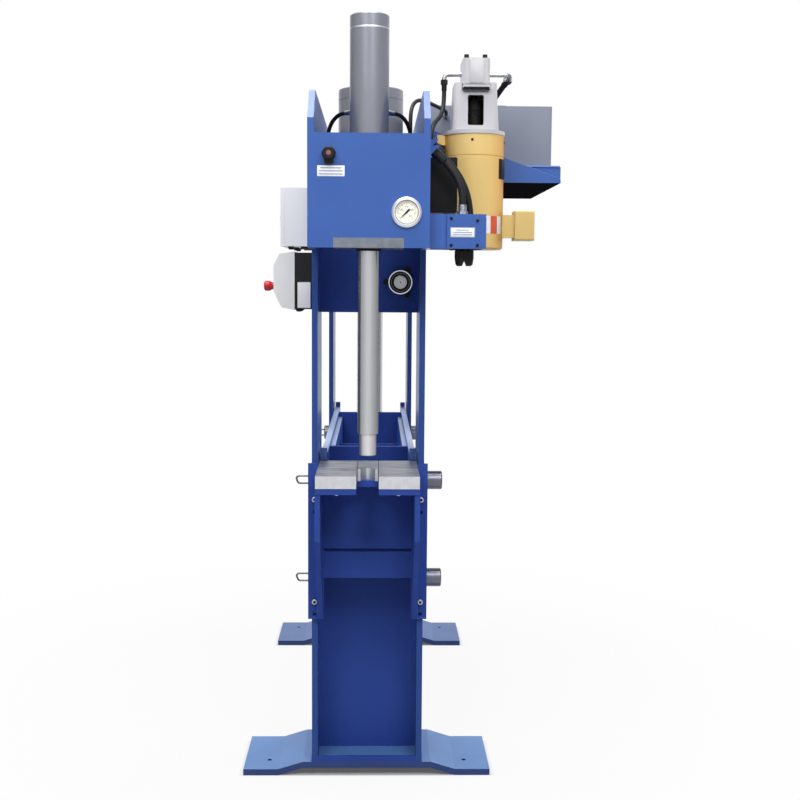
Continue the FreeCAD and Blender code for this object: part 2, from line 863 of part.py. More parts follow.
def barrel_outline(bore, outer, bottom, top, end_wall, collar=()):
    """Half section of a barrel with a closed, chamfered top and a turned line below it."""
    line = "(%s - cap_line)" % top
    return [
        (bore, bottom),
        (outer, bottom),
        *collar,
        (outer, line + " - cap_line_width"),
        (outer + " - cap_line_depth", line + " - cap_line_width"),
        (outer + " - cap_line_depth", line),
        (outer, line),
        (outer, "%s - barrel_chamfer" % top),
        (outer + " - barrel_chamfer", top),
        ("0", top),
        ("0", "%s - %s" % (top, end_wall)),
        (bore, "%s - %s" % (top, end_wall)),
    ]


def main_cylinder():
    """The large cylinder hangs through its seat with a welded collar below, its gland bolted under the barrel."""
    collar_edge = MAIN_OUTER + " + main_collar"
    collar = [
        (MAIN_OUTER, "head_bottom - main_collar_height"),
        (collar_edge, "head_bottom - main_collar_height"),
        (collar_edge, "head_bottom"),
        (MAIN_OUTER, "head_bottom"),
    ]
    bore = "main_bore / 2"
    outline = barrel_outline(bore, MAIN_OUTER, "main_bottom", "main_top", "main_end_wall", collar)
    node(turned("main_barrel", outline))
    rod = "(main_rod / 2 + running)"
    recess = "(main_rod / 2 + wiper_wall)"
    gland_bottom = "(main_bottom - main_gland_flange)"
    gland = [
        (rod, gland_bottom + " + wiper_recess"),
        (recess, gland_bottom + " + wiper_recess"),
        (recess, gland_bottom),
        (MAIN_OUTER + " - barrel_chamfer", gland_bottom),
        (MAIN_OUTER, gland_bottom + " + barrel_chamfer"),
        (MAIN_OUTER, "main_bottom"),
        (bore + " - piston_play", "main_bottom"),
        (bore + " - piston_play", "main_bottom + main_gland_depth"),
        (rod, "main_bottom + main_gland_depth"),
    ]
    node(turned("main_gland", gland))


def main_ram():
    """The large ram with a neck that carries the piston, standing on the gland when it is fully out."""
    seat = "(main_bottom + main_gland_depth)"
    rod, neck = "main_rod / 2", "main_neck / 2"
    outline = [
        ("0", "main_nose"),
        (rod + " - 4", "main_nose"),
        (rod, "main_nose + 4"),
        (rod, seat),
        (neck, seat),
        (neck, seat + " + main_piston_height + 12"),
        ("0", seat + " + main_piston_height + 12"),
    ]
    node(turned("main_ram", outline))
    edge = "main_bore / 2 - piston_play"
    piston = [
        (neck, seat),
        (edge, seat),
        (edge, seat + " + main_piston_height / 3"),
        (edge + " - 4", seat + " + main_piston_height / 3"),
        (edge + " - 4", seat + " + main_piston_height * 2 / 3"),
        (edge, seat + " + main_piston_height * 2 / 3"),
        (edge, seat + " + main_piston_height"),
        (neck, seat + " + main_piston_height"),
    ]
    node(turned("main_piston", piston))


def side_cylinder():
    """The small cylinder stands on a square flange that also guides its ram."""
    half = "flange_size / 2"
    flange = plate(
        "side_flange",
        "XY",
        rectangle(mirrored(half), half, mirrored(half), half),
        "flange_thick",
        along=mirrored(SIDE_AXIS),
        up="head_bottom + flange_thick / 2",
    )
    pocket(flange, sketch(flange, "XY", circles=[("0", "0", "side_rod + 2 * running")]))
    node(flange)
    outline = barrel_outline("side_bore / 2", SIDE_OUTER, FLANGE_TOP, "side_top", "side_end_wall")
    tube = turned("side_tube", outline, along=mirrored(SIDE_AXIS))
    bosses = []
    for name, side in (("left", -1), ("right", 1)):
        start = "(side_bore / 2 + side_wall / 3)"
        across, along = "%d * sqrt(0.5) * %s" % (side, start), "sqrt(0.5) * %s - %s" % (start, SIDE_AXIS)
        length = "side_wall * 2 / 3 + barrel_boss_height"
        turn = Rotation(Vector(0, 0, 1), Vector(side, 1, 0))
        bosses.append(bar("side_boss_" + name, "barrel_boss", length, across, along, "barrel_port_up", turn))
    node(weld("side_barrel", [tube] + bosses))


def side_ram():
    """The small ram and its piston head, turned from one bar, and the narrower tip screwed into its nose."""
    rod, edge = "side_rod / 2", "(side_bore / 2 - piston_play)"
    spigot = "tip_spigot / 2"
    nose = "(side_nose + side_tip_length)"
    ram = [
        (spigot, nose),
        (rod + " - 2", nose),
        (rod, nose + " + 2"),
        (rod, FLANGE_TOP),
        (edge, FLANGE_TOP),
        (edge, FLANGE_TOP + " + side_piston_height"),
        ("0", FLANGE_TOP + " + side_piston_height"),
        ("0", nose + " + tip_spigot_length"),
        (spigot, nose + " + tip_spigot_length"),
    ]
    node(turned("side_ram", ram, along=mirrored(SIDE_AXIS)))
    tip_edge = "side_tip / 2"
    tip = [
        ("0", "side_nose"),
        (tip_edge + " - 2", "side_nose"),
        (tip_edge, "side_nose + 2"),
        (tip_edge, nose),
        (spigot, nose),
        (spigot, nose + " + tip_spigot_length"),
        ("0", nose + " + tip_spigot_length"),
    ]
    node(turned("side_ram_tip", tip, along=mirrored(SIDE_AXIS)))


def rod_seals():
    """The wiper rings where the rams leave their cylinders."""
    gap = "loose"
    main_bottom = "(main_bottom - main_gland_flange)"
    main = [
        ("main_rod / 2 + " + gap, main_bottom),
        ("main_rod / 2 + wiper_wall", main_bottom),
        ("main_rod / 2 + wiper_wall", main_bottom + " + wiper_recess"),
        ("main_rod / 2 + " + gap, main_bottom + " + wiper_recess"),
    ]
    side = [
        ("side_rod / 2 + " + gap, "head_bottom - wiper_height"),
        ("side_rod / 2 + wiper_wall", "head_bottom - wiper_height"),
        ("side_rod / 2 + wiper_wall + 2", "head_bottom"),
        ("side_rod / 2 + " + gap, "head_bottom"),
    ]
    rings = [turned("main_wiper", main), turned("side_wiper", side, along=mirrored(SIDE_AXIS))]
    return node(collect("rod_seals", rings))


# ---------------------------------------------------------------- side table


def cap_screw(label, length, across, along, up, turn):
    """A socket-head screw whose head stands on its own Z plane and whose shank runs down from it."""
    head, height, shank = "0.8 * screw_size", "screw_size", "screw_size / 2"
    outline = [
        ("0", mirrored(length)),
        (shank, mirrored(length)),
        (shank, "0"),
        (head, "0"),
        (head, height + " - 1"),
        (head + " - 1", height),
        ("0", height),
    ]
    body = turned(label, outline, across, along, up, turn)
    side = "0.46 * screw_size"
    hexagon = [
        ("%s * cos(%d deg)" % (side, 60 * k), "%s * sin(%d deg)" % (side, 60 * k))
        for k in range(6)
    ]
    pocket(body, sketch(body, "XY", [hexagon], lift=height), "screw_size / 2")
    return body


def table_bracket():
    """The weldment bolted on the near upright: strips, gussets, back and tie plates, and a slotted support."""
    face = UPRIGHT_OUTER
    strip_front = "(%s + strip_thick)" % face
    parts = []
    for name, side in (("front", "-1"), ("rear", "1")):
        inner, outer = "%s * %s" % (side, STRIP_INNER), "%s * (%s + strip_wing)" % (side, PLATE_OUTER)
        shoulder = "%s * (side_gap / 2 - block_play + 1)" % side
        outline = [
            (inner, "strip_bottom"),
            (outer, "strip_bottom"),
            (outer, "strip_top"),
            (shoulder, "strip_top"),
            (shoulder, SUPPORT_BOTTOM),
            (inner, SUPPORT_BOTTOM),
        ]
        middle = "-(%s + strip_thick / 2)" % face
        strip = plate("table_strip_" + name, "XZ", outline, "strip_thick", along=middle)
        hole = "screw_size + 2 * screw_play"
        screw_across = "%s * %s" % (side, PLATE_MIDDLE)
        holes = [
            (screw_across, "%s%s" % (row_up, drop), hole)
            for row_up in ("upper_screw", "lower_screw")
            for drop in ("", " - spare_screw_drop")
        ]
        pocket(strip, sketch(strip, "XZ", circles=holes))
        gusset = plate(
            "table_gusset_" + name,
            "YZ",
            [
                (mirrored(strip_front), "strip_bottom"),
                (mirrored(strip_front), SUPPORT_BOTTOM),
                ("-gusset_front", SUPPORT_BOTTOM),
                ("-gusset_front", "gusset_straight"),
            ],
            "gusset_thick",
            across="%s * (side_gap / 2 - gusset_inset + gusset_thick / 2)" % side,
        )
        parts += [strip, gusset]
    half = STRIP_INNER
    back = rectangle(mirrored(half), half, "back_plate_bottom", SUPPORT_BOTTOM)
    parts.append(plate("table_back", "XZ", back, "strip_thick", along="-(%s + strip_thick / 2)" % face))
    tie = rectangle(mirrored(half), half, "tie_plate_bottom", "lower_web_top")
    parts.append(plate("table_tie", "XZ", tie, "tie_plate_thick", along="-(%s + tie_plate_thick / 2)" % face))
    reach, slot = "(side_gap / 2 - block_play)", "table_slot / 2"
    support = [
        (mirrored(reach), "-table_front + 2"),
        ("-%s" % slot, "-table_front + 2"),
        ("-%s" % slot, "-centre_block_front"),
        (slot, "-centre_block_front"),
        (slot, "-table_front + 2"),
        (reach, "-table_front + 2"),
        (reach, "-table_rear"),
        (mirrored(reach), "-table_rear"),
    ]
    shelf = plate("table_shelf", "XY", support, "support_thick", up="%s + support_thick / 2" % SUPPORT_BOTTOM)
    hole = "screw_size + 2 * screw_play"
    pocket(shelf, sketch(shelf, "XY", circles=[(a, b, hole) for a, b in support_screws()]))
    parts.append(shelf)
    return node(weld("table_bracket", parts))


def support_screws():
    """Where the screws stand that hold the machined blocks from below."""
    return [
        ("%s * support_screw_place" % side, along)
        for side in ("-1", "1")
        for along in ("-(table_front - support_screw_inset)", "-(table_rear + support_screw_inset + 60)")
    ]


def table_blocks():
    """Two machined blocks with a slot between them, and a short block with a scooped front that closes its end."""
    blocks = []
    reach, slot = "(side_gap / 2 - block_play)", "table_slot / 2"
    for name, side in (("front", "-1"), ("rear", "1")):
        outline = rectangle("%s * %s" % (side, slot), "%s * %s" % (side, reach), "-table_front", "-table_rear")
        body = plate("table_block_" + name, "XY", outline, "block_thick", up=BLOCK_BOTTOM + " + block_thick / 2")
        taps = [(a, b, "screw_size + screw_play") for a, b in support_screws() if a.startswith(side + " ")]
        depth = "support_screw_length - support_thick + 2"
        hole_sketch = sketch(body, "XY", circles=taps, lift="-block_thick / 2")
        pocket(body, hole_sketch, depth).Reversed = True
        blocks.append(body)
    side = "(%s - centre_block_play)" % slot
    outline = rectangle(mirrored(side), side, "-centre_block_front", "-table_rear")
    centre = plate("table_centre_block", "XY", outline, "block_thick", up=BLOCK_BOTTOM + " + block_thick / 2")
    scoop = sketch(centre, "XY", circles=[("0", "-centre_block_front", "2 * centre_scoop")])
    pocket(centre, scoop)
    blocks.append(centre)
    return node(collect("table_blocks", blocks))


def table_screws():
    """The socket-head screws that hold the bracket to the frame and the blocks to the bracket."""
    screws = []
    for name, side in (("front", "-1"), ("rear", "1")):
        for row_name, row_up in (("upper", "upper_screw"), ("lower", "lower_screw")):
            across = "%s * %s" % (side, PLATE_MIDDLE)
            along = "-(%s + strip_thick)" % UPRIGHT_OUTER
            label = "strip_screw_%s_%s" % (name, row_name)
            screws.append(cap_screw(label, "screw_length", across, along, row_up, TOWARDS_NEAR_END))
    downwards = Rotation(Vector(1, 0, 0), 180)
    for count, (across, along) in enumerate(support_screws()):
        label = "support_screw_%d" % count
        screws.append(cap_screw(label, "support_screw_length", across, along, SUPPORT_BOTTOM, downwards))
    return node(collect("table_screws", screws))


# ---------------------------------------------------------------- instruments in the end plate and web


def on_end_plate(body, across, up):
    return place(body, across, "-nose_reach", up, TOWARDS_NEAR_END)


def pressure_gauge():
    """A flush dial gauge: flanged case, dial, pointer on its spindle, and glass."""
    case, flange, window = "gauge_case / 2", "gauge_flange / 2", "gauge_window / 2"
    rim = "(gauge_window / 2 + gauge_rim_land)"
    spindle = "(spindle / 2 + running)"
    cavity = "gauge_case / 3"
    outline = [
        ("0", "-gauge_case_depth"),
        (case, "-gauge_case_depth"),
        (case, "0"),
        (flange, "0"),
        (flange, "gauge_flange_thick"),
        (rim, "gauge_rim_height"),
        (window, "gauge_rim_height"),
        (window, "dial_depth"),
        (cavity, "dial_depth"),
        (cavity, "-gauge_case_depth + 8"),
        (spindle, "-gauge_case_depth + 8"),
        (spindle, "-gauge_case_depth + 3"),
        ("0", "-gauge_case_depth + 3"),
    ]
    node(on_end_plate(turned("gauge_case", outline), "gauge_across", "gauge_up"))
    edge = window + " - loose"
    dial_top = "dial_depth + dial_thick"
    hub_hole = "spindle / 2 + loose"
    dial = [(hub_hole, "dial_depth"), (edge, "dial_depth"), (edge, dial_top), (hub_hole, dial_top)]
    node(on_end_plate(turned("gauge_dial", dial), "gauge_across", "gauge_up"))
    glass = rectangle("0", edge, "glass_depth", "glass_depth + glass_thick")
    node(on_end_plate(turned("gauge_glass", glass), "gauge_across", "gauge_up"))
    pointer = new_body("gauge_pointer")
    shaft, foot_depth = "spindle / 2", "-gauge_case_depth + 4"
    top = "(%s + 3)" % dial_top
    revolve(pointer, sketch(pointer, "XZ", [[("0", foot_depth), (shaft, foot_depth), (shaft, top), ("0", top)]]))
    turn_c, turn_s = "cos(pointer_zero * 1 deg)", "sin(pointer_zero * 1 deg)"
    blade = [("-pointer_tail", "-3"), ("0", "-3"), ("pointer_length", "0"), ("0", "3"), ("-pointer_tail", "3")]
    turned_blade = [
        ("(%s) * %s - (%s) * %s" % (a, turn_c, b, turn_s), "(%s) * %s + (%s) * %s" % (a, turn_s, b, turn_c))
        for a, b in blade
    ]
    pad(pointer, sketch(pointer, "XY", [turned_blade], lift=dial_top + " + 1.5"), "1")
    node(on_end_plate(pointer, "gauge_across", "gauge_up"))


def regulator():
    """A screw-down pressure regulator: its block behind the plate, its collar in the plate, its knob in front."""
    back = "-end_plate_thick"
    half = "regulator_block / 2"
    body = new_body("regulator_body")
    depth = "regulator_block_depth"
    outline = rectangle(mirrored(half), half, mirrored(half), half)
    pad(body, sketch(body, "XY", [outline], lift=back + " - regulator_block_depth"), depth, both_ways=False)
    collar = sketch(body, "XY", circles=[("0", "0", "regulator_collar")], lift=back)
    pad(body, collar, "end_plate_thick + 3", both_ways=False)
    stem_hole = sketch(body, "XY", circles=[("0", "0", "regulator_stem + 2 * running")], lift="3")
    pocket(body, stem_hole, "end_plate_thick + 3 + regulator_block_depth / 2")
    node(on_end_plate(body, "regulator_across", "regulator_up"))
    knob, stem = "regulator_knob / 2", "regulator_stem / 2"
    stem_end = back + " - regulator_block_depth / 3"
    front = "(3.5 + regulator_knob_length)"
    outline = [
        ("0", stem_end),
        (stem, stem_end),
        (stem, "3.5"),
        (knob + " - 3", "3.5"),
        (knob + " - 3", "9"),
        (knob, "10"),
        (knob, front + " - 2"),
        (knob + " - 2", front),
        ("0", front),
    ]
    node(on_end_plate(turned("regulator_knob", outline), "regulator_across", "regulator_up"))


def web_bearing():
    """A three-eared flange bearing on the near upper web, with the end of the short shaft that turns in it."""
    along = "-(%s + web_thick / 2)" % UPRIGHT_MIDDLE
    ring, groove = "bearing_ring / 2", "bearing_groove / 2"
    bore = "(bearing_shaft / 2 + running)"
    flange_top = "bearing_flange_thick"
    ring_top = "bearing_flange_thick + bearing_ring_height"
    outline = [
        (bore, "0"),
        (ring + " + 3", "0"),
        (ring + " + 3", flange_top),
        (ring, flange_top),
        (ring, ring_top),
        (groove, ring_top),
        (groove, flange_top + " - 3"),
        (bore + " + 3", flange_top + " - 3"),
        (bore + " + 3", ring_top + " - 2"),
        (bore, ring_top + " - 2"),
    ]
    housing = turned("bearing_housing", outline, "bearing_across", along, "bearing_up", TOWARDS_NEAR_END)
    ears = []
    for count, angle in enumerate((60, 180, 300)):
        ear = new_body("bearing_ear_%d" % count)
        cosine, sine = "cos(%d deg)" % angle, "sin(%d deg)" % angle
        centre = ("bearing_lug_circle / 2 * " + cosine, "bearing_lug_circle / 2 * " + sine)
        pad(ear, sketch(ear, "XY", circles=[(*centre, "bearing_lug")]), "bearing_flange_thick", both_ways=False)
        ears.append(place(ear, "bearing_across", along, "bearing_up", TOWARDS_NEAR_END))
    node(weld("bearing_flange", [housing] + ears))
    shaft = "bearing_shaft / 2"
    tail, face = "-bearing_shaft_tail", "bearing_shaft_length - bearing_shaft_tail"
    outline = [
        ("0", tail),
        (shaft + " - 1", tail),
        (shaft, tail + " + 1"),
        (shaft, face + " - 1"),
        (shaft + " - 1", face),
        (shaft + " - 5", face),
        (shaft + " - 5", face + " - 1.5"),
        (shaft + " - 7", face + " - 1.5"),
        (shaft + " - 7", face),
        ("0", face),
    ]
    node(turned("web_shaft", outline, "bearing_across", along, "bearing_up", TOWARDS_NEAR_END))


# ---------------------------------------------------------------- control valve and manifold


def valve_box():
    """The folded cover beside the nose, open below, with a thicker front plate whose upper corner is rounded."""
    bottom, top = "head_bottom", "(head_bottom + valve_height)"
    shell_outline = rectangle(PLATE_OUTER, "valve_reach", bottom, top)
    shell = new_body("valve_shell")
    depth = "valve_front - valve_rear"
    pad(shell, sketch(shell, "XZ", [shell_outline], lift="valve_rear"), depth, both_ways=False)
    inside = rectangle(PLATE_OUTER + " + valve_wall", "valve_reach - valve_wall", bottom, top + " - valve_wall")
    hollow = sketch(shell, "XZ", [inside], lift="valve_front - valve_wall")
    pocket(shell, hollow, depth + " - 2 * valve_wall")
    mouth = ("valve_port_across", "-valve_port_place", "1.6 * valve_hose + 4")
    pocket(shell, sketch(shell, "XY", circles=[mouth], lift=top), "valve_wall")
    cover = new_body("valve_front_plate")
    outline = rectangle("valve_cover_left", "valve_reach", bottom, top)
    pad(cover, sketch(cover, "XZ", [outline], lift="valve_front"), "valve_cover_thick", both_ways=False)
    right, low = number("valve_reach"), number(bottom)

    def upper_right_corner(edge):
        return runs_along(edge, 1) and edge.CenterOfMass.x > right - 1 and edge.CenterOfMass.z > low + 1

    round_edges(cover, "valve_corner", upper_right_corner)
    return node(weld("valve_box", [shell, cover]))


def control_valve():
    """The valve's body inside the box, bored below for the selector's stem, and its rear port block."""
    left, right = "valve_body_left", "valve_body_right"
    near, far = "-(valve_front - 2 * valve_wall)", "-(valve_rear + 2 * valve_wall)"
    low, top = "head_bottom - valve_body_drop", "(head_bottom + valve_height - valve_wall)"
    body = block("valve_block", left, right, near, far, low, top)
    bore = bar(
        "selector_bore",
        "selector_stem + 2 * running",
        "2 * selector_stem",
        "selector_across",
        "-selector_place",
        low,
    )
    half = "rear_block_size / 2"
    rear = block(
        "valve_rear_block",
        "rear_port_across - " + half,
        "rear_port_across + " + half,
        "-valve_rear",
        "-rear_port_place + " + half,
        "head_bottom",
        "rear_block_top",
    )
    return node(collect("control_valve", [cut("valve_bored_block", body, bore), rear]))


def selector_knob():
    """The knob under the valve that sends the oil to the one cylinder or the other, fluted and notched for a grip."""
    stem, edge, foot = "selector_stem / 2", "selector_size / 2", "selector_foot / 2"
    low = "-selector_height"
    outline = [
        ("0", low),
        (foot + " - 4", low),
        (foot, low + " + 4"),
        (edge, low + " / 2"),
        (edge, "-3"),
        (edge + " - 3", "0"),
        (stem, "0"),
        (stem, "1.8 * selector_stem"),
        ("0", "1.8 * selector_stem"),
    ]
    top = "head_bottom - valve_body_drop - selector_gap"
    body = turned("selector_knob", outline, "selector_across", "-selector_place", top)
    mouth, root = low + " - 1", low + " + selector_notch"
    half = "selector_notch / 2"
    for plane in ("XZ", "YZ"):
        notch = sketch(body, plane, [[(mirrored(half), mouth), (half, mouth), ("1", root), ("-1", root)]])
        pocket(body, notch)
    flute = sketch(body, "XY", circles=[(edge + " + 3", "0", "12")])
    first = pocket(body, flute, "selector_height")
    ring = body.newObject("PartDesign::PolarPattern", "selector_flutes_ring")
    ring.Originals = [first]
    ring.Axis = (flute, ["N_Axis"])
    ring.Angle = 360
    bind(ring, "Occurrences", "selector_flutes")
    body.Tip = ring
    return node(body)


def manifold():
    """The drilled blocks on the frame plates that the hoses meet at: one outside the head and two inside it."""
    inside = "side_gap / 2"
    inner_left = "side_gap / 2 - inner_block_reach"
    places = (
        ("outer_block", PLATE_OUTER, PLATE_OUTER + " + manifold_reach", "manifold_front", "manifold_rear",
         "manifold_bottom", "manifold_top"),
        ("inner_block", inner_left, inside, "inner_block_near", "inner_block_far",
         "inner_block_bottom", "inner_block_top"),
        ("left_block", mirrored(inside), mirrored(inner_left), "inner_block_near", "left_block_far",
         "left_block_bottom", "left_block_top"),
    )
    blocks = []
    for label, left, right, near, far, low, high in places:
        body = new_body(label)
        outline = rectangle(left, right, low, high)
        pad(body, sketch(body, "XZ", [outline], lift=far), "%s - %s" % (near, far), both_ways=False)
        round_edges(body, "3", lambda e: runs_along(e, 1), "Chamfer")
        blocks.append(body)
    return node(collect("manifold_blocks", blocks))


# ---------------------------------------------------------------- motor, coupling and pump


def motor_axis(body):
    return place(body, "motor_across", "-motor_place", "0")


def motor_housing():
    """The motor's shell and end shields with the fan cowl below, and two cast feet towards the frame."""
    edge, core = "motor_size / 2", "motor_core_bore / 2"
    wall = "(motor_size / 2 - motor_wall)"
    cowl_top = "(motor_bottom + motor_cowl)"
    shaft = "(motor_shaft / 2 + running)"
    shield = "(motor_top - motor_joint)"
    outline = [
        (edge, "motor_bottom + 6"),
        (edge, shield + " - 1"),
        (edge + " - 1.5", shield),
        (edge, shield + " + 1"),
        (edge, "motor_top"),
        (shaft, "motor_top"),
        (shaft, "motor_top - 20"),
        (core, "motor_top - 20"),
        (core, cowl_top + " + 20"),
        (shaft, cowl_top + " + 20"),
        (shaft, cowl_top),
        (wall, cowl_top),
        (wall, "motor_bottom + motor_wall"),
        ("12", "motor_bottom + motor_wall"),
        ("12", "motor_bottom"),
        (edge + " - 6", "motor_bottom"),
    ]
    shell = turned("motor_shell", outline)
    slot_in, slot_out = "26", "fan_size / 2 - 6"
    half = "cowl_slot_width / 2"
    slot = sketch(shell, "XY", [rectangle(slot_in, slot_out, mirrored(half), half)], lift="motor_bottom + motor_wall")
    first = pocket(shell, slot, "motor_wall")
    ring = shell.newObject("PartDesign::PolarPattern", "cowl_slot_ring")
    ring.Originals = [first]
    ring.Axis = (slot, ["N_Axis"])
    ring.Angle = 360
    bind(ring, "Occurrences", "cowl_slots")
    shell.Tip = ring
    motor_axis(shell)
    feet = []
    near, far = "-(motor_place + motor_foot_width / 2)", "-(motor_place - motor_foot_width / 2)"
    neck_near, neck_far = "-(motor_place + 30)", "-(motor_place - 30)"
    for name, top in (("upper", "motor_top - 2"), ("lower", "motor_bottom + motor_cowl + 60")):
        low = "(%s) - motor_foot_height" % top
        pad_right = "motor_foot_plane + motor_foot_thick"
        feet.append(block("motor_foot_%s" % name, "motor_foot_plane", pad_right, near, far, low, top))
        neck_right = "motor_across - motor_core_bore / 2 - 20"
        feet.append(block("motor_foot_neck_%s" % name, "motor_foot_plane", neck_right, neck_near, neck_far, low, top))
    return node(weld("motor_housing", [shell] + feet))


def plate_brackets():
    """What is welded on the motor's side of the frame plate: the motor's mount, a length of hollow section, and the
    two wedges from which the valve's hoses come out at a slant."""
    near, far = "-(motor_place + motor_mount_width / 2)", "-(motor_place - motor_mount_width / 2)"
    low, high = "motor_bottom + motor_cowl + 10", "motor_top - 10"
    outer = block("mount_outer", PLATE_OUTER, "motor_foot_plane", near, far, low, high)
    wall = "motor_mount_wall"
    inner = block(
        "mount_inner",
        "%s + %s" % (PLATE_OUTER, wall),
        "motor_foot_plane - " + wall,
        "%s + %s" % (near, wall),
        "%s - %s" % (far, wall),
        low,
        high,
    )
    brackets = [cut("motor_mount", outer, inner)]
    for name in ("front", "rear"):
        top = "outlet_%s_top" % name
        wedge = [(PLATE_OUTER, top), (PLATE_OUTER + " + outlet_size", top), (PLATE_OUTER, top + " - outlet_size")]
        along = "-outlet_%s_place" % name
        brackets.append(plate("hose_outlet_" + name, "XZ", wedge, "1.5 * outlet_size", along=along))
    return node(collect("plate_brackets", brackets))


def motor_rotor():
    """Shaft, rotor core and fan as they turn together."""
    shaft = "motor_shaft / 2"
    core = "(motor_core_bore / 2 - rotor_gap)"
    cowl_top = "(motor_bottom + motor_cowl)"
    fan = "fan_size / 2"
    outline = [
        ("0", "motor_bottom + motor_wall + 4"),
        ("20", "motor_bottom + motor_wall + 4"),
        ("20", "motor_bottom + motor_wall + 10"),
        (fan, cowl_top + " - 14"),
        (fan, cowl_top + " - 10"),
        (shaft, cowl_top + " - 10"),
        (shaft, cowl_top + " + 22"),
        (core, cowl_top + " + 22"),
        (core, "motor_top - 22"),
        (shaft, "motor_top - 22"),
        (shaft, "motor_top + hub_first + hub_height - 2"),
        ("0", "motor_top + hub_first + hub_height - 2"),
    ]
    return node(motor_axis(turned("motor_rotor", outline)))


def terminal_box():
    """The cable box on the motor's outer side, on a short neck that follows the shell."""
    near, far = "-(motor_place + terminal_width / 2)", "-(motor_place - terminal_width / 2)"
    box = new_body("terminal_case")
    outline = rectangle("terminal_left", "terminal_right", "terminal_bottom", "terminal_top")
    pad(box, sketch(box, "XZ", [outline], lift="motor_place - terminal_width / 2"), "terminal_width", both_ways=False)
    round_edges(box, "5", lambda e: runs_along(e, 0))
    half = "terminal_neck / 2"
    middle = "(terminal_bottom + terminal_top) / 2"
    neck = block(
        "terminal_neck_block",
        "motor_across + motor_size / 4",
        "terminal_left",
        "-(motor_place + %s)" % half,
        "-(motor_place - %s)" % half,
        middle + " - 38",
        middle + " + 34",
    )
    shell = bar("terminal_neck_cut", "motor_size + loose", "400", "motor_across", "-motor_place", "motor_bottom - 20")
    return node(weld("terminal_box", [box, cut("terminal_neck", neck, shell)]))


def bell_housing():
    """The square lantern between motor and pump, drawn in towards the pump, with a window to reach the coupling."""
    body = new_body("bell_housing")
    half, inner = "bell_base / 2", "(bell_base / 2 - bell_wall)"
    drawn_in = "atan((bell_base - bell_crown) / 2 / bell_height)"
    outside = sketch(body, "XY", [rectangle(mirrored(half), half, mirrored(half), half)])
    lantern = pad(body, outside, "bell_height", both_ways=False)
    bind(lantern, "TaperAngle", "-" + drawn_in)
    round_edges(body, "bell_corner", rises)
    ring = sketch(body, "XY", circles=[("0", "0", "bell_ring")])
    pad(body, ring, "bell_ring_thick", both_ways=False)
    inside = sketch(body, "XY", [rectangle(mirrored(inner), inner, mirrored(inner), inner)])
    hollow = pocket(body, inside, "bell_height - bell_channel - bell_top_wall")
    hollow.Reversed = True
    bind(hollow, "TaperAngle", "-" + drawn_in)
    half = "(pump_width / 2 + bell_channel_play)"
    channel = rectangle(mirrored(half), half, "bell_height - bell_channel", "bell_height + 1")
    pocket(body, sketch(body, "XZ", [channel]))
    hole = sketch(body, "XY", circles=[("0", "0", "bell_shaft_hole")])
    pocket(body, hole)
    half = "bell_window / 2"
    window = rectangle(mirrored(half), half, "bell_window_sill", "bell_window_sill + bell_window_height")
    front = sketch(body, "XZ", [window], lift="bell_base / 2 + 10")
    pocket(body, front, "10 + (bell_base - bell_crown) / 2 + bell_wall + 4")
    sill, lintel = number("bell_window_sill"), number("bell_window_sill + bell_window_height")

    def window_corner(edge):
        return (
            runs_along(edge, 1)
            and abs(abs(edge.CenterOfMass.x) - number(half)) < 0.01
            and min(abs(edge.CenterOfMass.z - sill), abs(edge.CenterOfMass.z - lintel)) < 0.01
        )

    round_edges(body, "6", window_corner)
    return node(place(body, "motor_across", "-motor_place", "motor_top"))


def coupling():
    """Two hubs with two jaws each, a quarter turn apart, and the rubber cross that fills the spaces between them."""
    hub, arm = "hub_size / 2", "spider_arm / 2"
    hubs = []
    lower = "(motor_top + hub_first)"
    jaw_start = "(motor_top + hub_first + hub_height)"
    upper = "(motor_top + hub_first + hub_height + jaw_height)"
    for name, start, bore, jaws_up in (
        ("lower", lower, "motor_shaft", True),
        ("upper", upper, "pump_shaft", False),
    ):
        outline = rectangle("%s / 2 + running" % bore, hub, "0", "hub_height")
        body = turned("coupling_hub_" + name, outline)
        ring = sketch(body, "XY", circles=[("0", "0", "hub_size"), ("0", "0", "hub_size / 2")], lift="hub_height")
        pad(body, ring, "jaw_height - jaw_play", both_ways=False)
        gap = "(spider_arm / 2 + jaw_play)"
        reach = "hub_size"
        side_cuts = [
            rectangle(gap, reach, mirrored(reach), mirrored(gap)),
            rectangle(mirrored(reach), mirrored(gap), gap, reach),
        ]
        arm_cuts = [rectangle(mirrored(gap), gap, mirrored(reach), reach)]
        for outlines in (side_cuts, arm_cuts, [rectangle(mirrored(reach), reach, mirrored(gap), gap)]):
            pocket(body, sketch(body, "XY", outlines, lift="hub_height + jaw_height"), "jaw_height")
        turn = None if jaws_up else Rotation(Vector(1, 0, 0), 180)
        up = start if jaws_up else start + " + hub_height"
        hubs.append(place(body, "motor_across", "-motor_place", up, turn))
    start = "(motor_top + hub_first + hub_height + jaw_height + 2)"
    length = "%s - loose - %s" % (PUMP_SEAT, start)
    hubs.append(bar("pump_shaft_end", "pump_shaft", length, "motor_across", "-motor_place", start))
    node(collect("coupling_hubs", hubs))
    spider = new_body("coupling_spider")
    reach = "(hub_size / 2 - 1)"
    core = sketch(spider, "XY", circles=[("0", "0", "hub_size / 2 - 2")])
    pad(spider, core, "jaw_height - 2 * jaw_play", both_ways=False)
    for across, along in ((reach, arm), (arm, reach)):
        outline = rectangle(mirrored(across), across, mirrored(along), along)
        pad(spider, sketch(spider, "XY", [outline]), "jaw_height - 2 * jaw_play", both_ways=False)
    node(place(spider, "motor_across", "-motor_place", jaw_start + " + jaw_play"))


